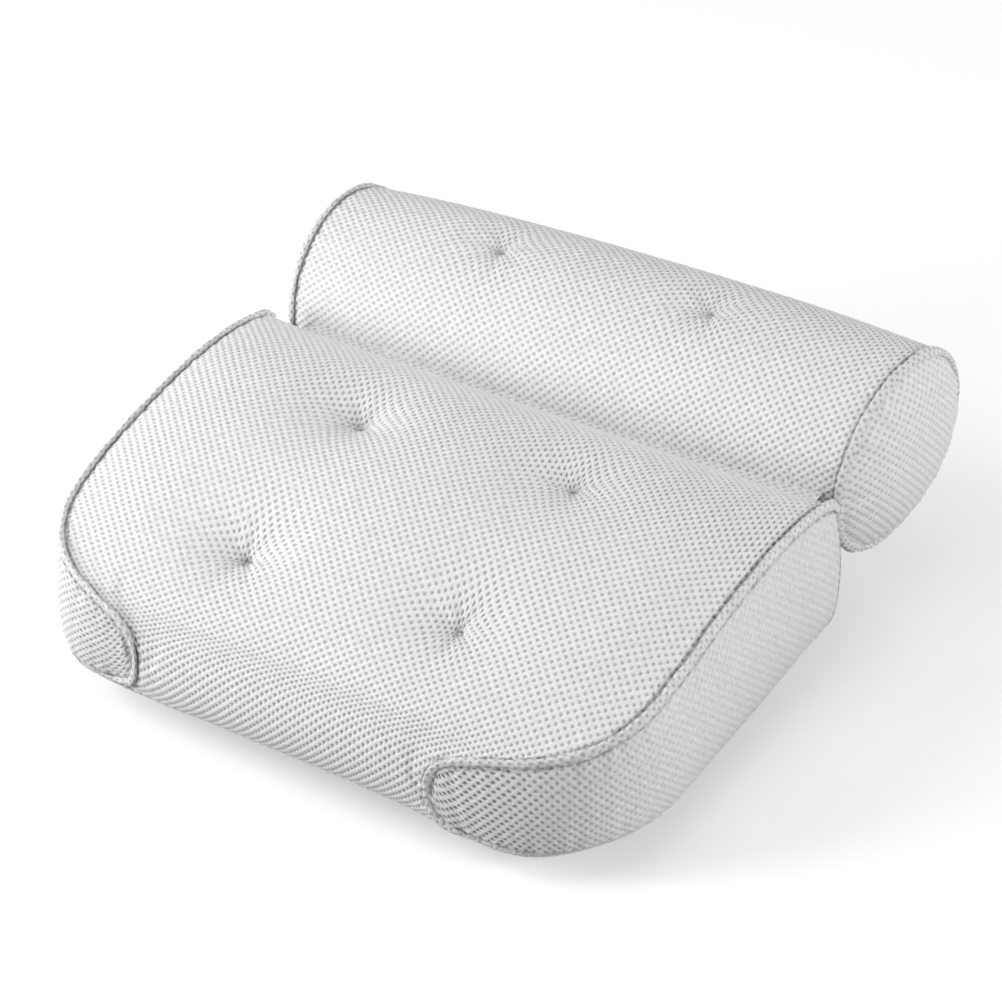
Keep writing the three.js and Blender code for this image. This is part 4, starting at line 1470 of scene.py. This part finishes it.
def make_cup(name, whole, x, y):
    top = cup_height
    profile = rounded([
        (0, cup_hollow_depth),
        (cup_rim_radius - cup_rim_width - cup_shoulder_radius, cup_hollow_depth),
        (cup_rim_radius - cup_rim_width, 0),
        (cup_rim_radius, 0),
        (cup_rim_radius, cup_rim_height),
        (cup_shoulder_radius, cup_body_height),
        (cup_neck_radius, cup_body_height + cup_rim_height / 3),
        (cup_neck_radius, cup_body_height + cup_neck_length),
        (cup_knob_radius, cup_body_height + cup_neck_length),
        (cup_knob_radius, top - cup_rim_height),
        (cup_knob_radius - cup_rim_height, top),
        (0, top),
    ], cup_rim_height)
    rings = profile[1:-1]
    angle = np.arange(cup_sides) / cup_sides * 2 * math.pi
    points = [(x + r * math.cos(a), y + r * math.sin(a), z) for r, z in rings for a in angle]
    points += [(x, y, profile[0][1]), (x, y, profile[-1][1])]
    faces = grid_faces(len(rings), cup_sides, wrap=True).tolist()
    last = (len(rings) - 1) * cup_sides
    for column in range(cup_sides):
        beside = (column + 1) % cup_sides
        faces.append([beside, column, len(points) - 2])
        faces.append([last + column, last + beside, len(points) - 1])
    piece = add_mesh(name, points, faces)
    finish_piece(piece, whole, [whole], clear_vinyl)


def make_loop(name, body, node, x, y, seat):
    middle = loop_thickness / 2
    bottom = cup_body_height + cup_neck_length - middle - cup_headroom
    outer = loop_half_span - middle
    path = rounded([
        (-loop_half_span - loop_foot, seat - middle),
        (-outer, seat - middle),
        (-outer, bottom),
        (outer, bottom),
        (outer, seat - middle),
        (loop_half_span + loop_foot, seat - middle),
    ], 2 * loop_thickness)
    path, _ = even_steps(np.array([(px, 0, pz) for px, pz in path]), loop_step)
    across = np.linspace(-loop_width / 2, loop_width / 2, loop_columns)
    points = np.repeat(path[:, None], len(across), axis=1)
    points[..., 1] += across
    faces = grid_faces(len(path), len(across))
    flat = points.reshape(-1, 3)
    distance = np.hypot(flat[:, 0], flat[:, 1])
    low = flat[:, 2] < bottom + middle
    inside, near = (low & (distance < buttonhole_radius + cut) for cut in buttonhole_cut)
    near &= ~inside
    flat[near, :2] *= (buttonhole_radius / distance[near])[:, None]
    faces = [face[::-1] for face in faces.tolist() if not inside[face].any()]
    flat += (x, y, 0)
    piece = add_mesh(name, flat, faces)
    solid = piece.modifiers.new("thickness", "SOLIDIFY")
    solid.thickness = loop_thickness
    solid.offset = 0
    mesh = plain_mesh(piece, name)
    piece.modifiers.clear()
    piece.data = mesh
    write_plain_fields(piece, loop_stretch)
    finish_piece(piece, body, [node], piping_mesh)


def make_cups():
    for row, share in (("back", wedge_cup_back_share), ("front", wedge_cup_front_share)):
        for side, name in reversed(sides):
            x = side * wedge_cup_spread_share * wedge_half_width
            y = share * wedge_depth - middle_y
            whole = f"wedge_{row}_{name}_cup"
            make_cup(f"{row}_{name}_cup", whole, x, y)
            make_loop(f"{row}_{name}_loop", "wedge", f"{whole}_loop", x, y, wedge_lift - sewn_gap)
    for side, name in reversed(sides):
        x = side * roll_cup_spread_share * roll_half_length
        ends = x + np.array([-1, 1]) * (loop_half_span + loop_foot)
        seat = np.min(roll_axis[2] + roll_axis_rise(ends) - roll_radius_at(ends, -math.pi / 2)) - sewn_gap
        whole = f"roll_{name}_cup"
        make_cup(f"roll_{name}_vinyl_cup", whole, x, roll_axis[1])
        make_loop(f"roll_{name}_loop", "roll", f"{whole}_loop", x, roll_axis[1], seat)


# Stitches along the seams, laid by a node tree on each seam's line.
def stitch_tree():
    tree = bpy.data.node_groups.new("seam_stitches", "GeometryNodeTree")
    for name, kind, value in (
        ("Line", "Geometry", None),
        ("Spacing", "Float", stitch_spacing),
        ("Stitch Length", "Float", stitch_length),
        ("Thread Radius", "Float", stitch_radius),
        ("Thread", "Material", None),
    ):
        new_socket(tree, name, kind, value)
    new_socket(tree, "Stitches", "Geometry", out=True)
    entry, spaced, spindle, size, shaped, placed, whole, painted, leave = (tree.nodes.new(kind) for kind in (
        "NodeGroupInput", "GeometryNodeCurveToPoints", "GeometryNodeMeshUVSphere", "ShaderNodeCombineXYZ",
        "GeometryNodeTransform", "GeometryNodeInstanceOnPoints", "GeometryNodeRealizeInstances",
        "GeometryNodeSetMaterial", "NodeGroupOutput"))
    spaced.mode = "LENGTH"
    half_length = Number(tree, entry.outputs["Stitch Length"]) * 0.5
    for node, socket, value in (
        (spaced, "Curve", entry.outputs["Line"]),
        (spaced, "Length", entry.outputs["Spacing"]),
        (spindle, "Segments", 6),
        (spindle, "Rings", 5),
        (spindle, "Radius", 1),
        (size, "X", entry.outputs["Thread Radius"]),
        (size, "Y", entry.outputs["Thread Radius"]),
        (size, "Z", half_length),
        (shaped, "Geometry", spindle.outputs["Mesh"]),
        (shaped, "Scale", size.outputs[0]),
        (placed, "Points", spaced.outputs["Points"]),
        (placed, "Rotation", spaced.outputs["Rotation"]),
        (placed, "Instance", shaped.outputs[0]),
        (whole, 0, placed.outputs[0]),
        (painted, "Geometry", whole.outputs[0]),
        (painted, "Material", entry.outputs["Thread"]),
        (leave, "Stitches", painted.outputs[0]),
    ):
        feed(tree, value, node.inputs[socket])
    return tree


def thread_curve(lines, closed=False):
    curve = bpy.data.curves.new("thread_line", "CURVE")
    curve.dimensions = "3D"
    for line in lines:
        strand = curve.splines.new("POLY")
        strand.points.add(len(line) - 1)
        strand.points.foreach_set("co", np.column_stack([line, np.ones(len(line))]).ravel())
        strand.use_cyclic_u = closed
    return add_object("thread_line", curve)


def finish_thread(name, curve, body):
    """What the curve makes becomes one plain mesh of thread."""
    mesh = plain_mesh(curve, name)
    bpy.data.objects.remove(curve)
    shade_smooth(mesh)
    finish_piece(add_object(name, mesh), body, [], sewing_thread)


def sew(name, lines, body, tree, closed=False):
    """Stitches along the lines."""
    curve = thread_curve(lines, closed)
    modifier = curve.modifiers.new("stitches", "NODES")
    modifier.node_group = tree
    sockets = {item.name: item.identifier for item in tree.interface.items_tree if item.in_out == "INPUT"}
    modifier[sockets["Thread"]] = sewing_thread
    finish_thread(name, curve, body)


def wedge_stitch_line(side):
    """A line on the top panel, beside the welt."""
    stations = np.linspace(stitch_start, last_station - stitch_start, line_samples)
    reach = 1 - stitch_inset / np.abs(seam_point(side, stations)[:, 0])
    return top_point(side * reach, stations) + to_frame


def gusset_stitch_line(side):
    stations = np.linspace(stitch_start, tongue_tip_station - stitch_tip_gap, line_samples)
    lower, upper = side_edges(side, stations)
    height = np.linalg.norm(upper - lower, axis=-1)
    return side_point(side, stations, 1 - stitch_inset / height) + to_frame


def make_stitches():
    tree = stitch_tree()
    lines = [line(side) for line in (wedge_stitch_line, gusset_stitch_line) for side in (-1, 1)]
    sew("wedge_seam_stitches", lines, "wedge", tree)
    rims = [roll_rim_path(side, -stitch_inset) for side in (-1, 1)]
    sew("roll_seam_stitches", rims, "roll", tree, closed=True)
    across = np.linspace(-back_stitch_share, back_stitch_share, back_stitch_samples)
    back_line = back_point(across, np.full(back_stitch_samples, back_stitch_rise)) + to_frame
    sew("wedge_back_stitches", [back_line], "wedge", tree)


def tuft_crosses(centres):
    """Two short threads over each tuft's pinch."""
    up = np.array([0, 0, 1])
    run = np.linspace(-1, 1, thread_samples)[:, None]
    lines = []
    for centre in centres:
        for turn in (tuft_thread_turn, tuft_thread_turn + math.pi / 2):
            arm = np.array([math.cos(turn), math.sin(turn), 0]) * tuft_thread_reach
            lines.append(centre - up * thread_sink + run * arm + (1 - run ** 2) * up * tuft_thread_rise)
    return lines


def make_tuft_threads():
    for name, body, centres in (("wedge_tuft_thread", "wedge", tuft_centres()),
                                ("roll_tuft_thread", "roll", roll_tuft_centres())):
        curve = thread_curve(tuft_crosses(centres))
        curve.data.bevel_depth = tuft_thread_radius
        curve.data.bevel_resolution = 2
        curve.data.use_fill_caps = True
        finish_thread(name, curve, body)


# Filling.
def underside_height(points):
    """Height of the underside over its lowest plane, at each point of the wedge."""
    stations = np.linspace(0, last_foot_station, filling_samples)
    height = np.zeros(len(points))
    for side in (-1, 1):
        depth = np.maximum.accumulate(foot_point(side, stations)[:, 1] + to_frame[1])
        station = np.interp(points[:, 1], depth, stations)
        reach = np.clip(side * points[:, 0] / (wedge_half_width - foot_tuck_depth), 0, 1)
        height += np.where(side * points[:, 0] > 0, base_point(side * reach, station)[:, 2], 0)
    return height


def make_filling(node, body):
    """A finer copy of the filling's solid, with a loose, uneven face."""
    shape = bmesh.new()
    shape.from_mesh(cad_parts[node].data)
    bmesh.ops.remove_doubles(shape, verts=shape.verts, dist=filling_weld_reach)
    long_edges = [edge for edge in shape.edges if edge.calc_length() > filling_edge]
    bmesh.ops.subdivide_edges(shape, edges=long_edges, cuts=2, use_grid_fill=True)
    bmesh.ops.triangulate(shape, faces=shape.faces)
    shape.normal_update()
    points = np.array([vert.co[:] for vert in shape.verts])
    normals = np.array([vert.normal[:] for vert in shape.verts])
    x, y, z = (points[:, axis] / length for axis, length in enumerate(filling_ripple_lengths))
    ripple = np.sin(x) * np.sin(y + z)
    points -= normals * (filling_inset * (1 + filling_ripple_share * ripple))[:, None]
    if body == "wedge":
        floor = wedge_lift + underside_height(points) + wall_thickness + filling_inset
        points[:, 2] = np.maximum(points[:, 2], floor)
    for vert, point in zip(shape.verts, points):
        vert.co = point
    mesh = bpy.data.meshes.new(node)
    shape.to_mesh(mesh)
    shape.free()
    finish_piece(add_object(f"{node}_wadding", mesh), body, [node], mesh_wadding)


def make_fillings():
    for layer in ("top", "middle", "base"):
        make_filling(f"wedge_filling_{layer}_layer", "wedge")
    for part in ("wrap", "core"):
        make_filling(f"roll_filling_{part}", "roll")


def dress_ties():
    """The ties of the tufts keep their solids and get the thread's finish."""
    for name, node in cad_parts.items():
        if "tuft_tie" in name:
            for slot in node.material_slots:
                slot.material = sewing_thread


# Light, floor and camera.
def add_lamp(name, place, size, watts):
    light = bpy.data.lights.new(name, "AREA")
    light.shape = "DISK"
    light.size = size
    light.energy = watts
    lamp = add_object(name, light)
    lamp.location = place
    lamp.rotation_euler = (Vector(lamp_aim) - Vector(place)).to_track_quat("-Z", "Y").to_euler()


def seen_directly(tree):
    """1 for rays from the camera, from gloss and through glass."""
    path = tree.nodes.new("ShaderNodeLightPath").outputs
    seen = Number(tree, path["Is Camera Ray"]).larger(path["Is Glossy Ray"])
    return seen.larger(path["Is Transmission Ray"])


def make_world():
    world = bpy.data.worlds.new("studio")
    bpy.context.scene.world = world
    world.use_nodes = True
    tree = world.node_tree
    back = tree.nodes["Background"]
    back.inputs["Color"].default_value = (1, 1, 1, 1)
    feed(tree, seen_directly(tree) * (1 - world_strength) + world_strength, back.inputs["Strength"])


def make_floor():
    corners = np.array([(-1, -1, 0), (1, -1, 0), (1, 1, 0), (-1, 1, 0)]) * floor_half_width
    floor = add_mesh("floor", corners, [(0, 1, 2, 3)])
    material, tree, shader = new_material("floor", Roughness=0.9, Specular_IOR_Level=0)
    seen = seen_directly(tree)
    feed(tree, mixed_colour(tree, seen, grey(floor_bounce), grey(floor_seen)), shader.inputs["Base Color"])
    glow, both = (tree.nodes.new(f"ShaderNode{kind}") for kind in ("Emission", "AddShader"))
    feed(tree, seen * floor_glow, glow.inputs["Strength"])
    feed(tree, shader.outputs[0], both.inputs[0])
    feed(tree, glow.outputs[0], both.inputs[1])
    feed(tree, both.outputs[0], tree.nodes["Material Output"].inputs["Surface"])
    floor.data.materials.append(material)


def make_camera():
    back = Vector((
        math.sin(camera_azimuth) * math.cos(camera_elevation),
        -math.cos(camera_azimuth) * math.cos(camera_elevation),
        math.sin(camera_elevation),
    ))
    right = Vector((math.cos(camera_azimuth), math.sin(camera_azimuth), 0))
    up = back.cross(right)
    turn = camera_roll
    right, up = right * math.cos(turn) + up * math.sin(turn), up * math.cos(turn) - right * math.sin(turn)
    camera = add_object("camera", bpy.data.cameras.new("camera"))
    axes = Matrix((right, up, back)).transposed()
    camera.matrix_world = Matrix.Translation(camera_target + back * camera_distance) @ axes.to_4x4()
    camera.data.lens = camera_lens
    camera.data.sensor_width = sensor_width
    camera.data.sensor_fit = "HORIZONTAL"
    bpy.context.scene.camera = camera


make_camera()
make_top_panel()
for side, name in sides:
    make_side_panel(side, name)
    make_wedge_welt(side, name)
    make_roll_end(side, name)
    make_roll_welt(side, name)
make_base_panel()
make_back_panel()
make_roll_cover()
make_fold_strip()
make_cups()
make_stitches()
make_tuft_threads()
make_fillings()
dress_ties()
make_world()
make_floor()
for lamp in lamps:
    add_lamp(*lamp)

bpy.context.scene.view_settings.view_transform = "Standard"
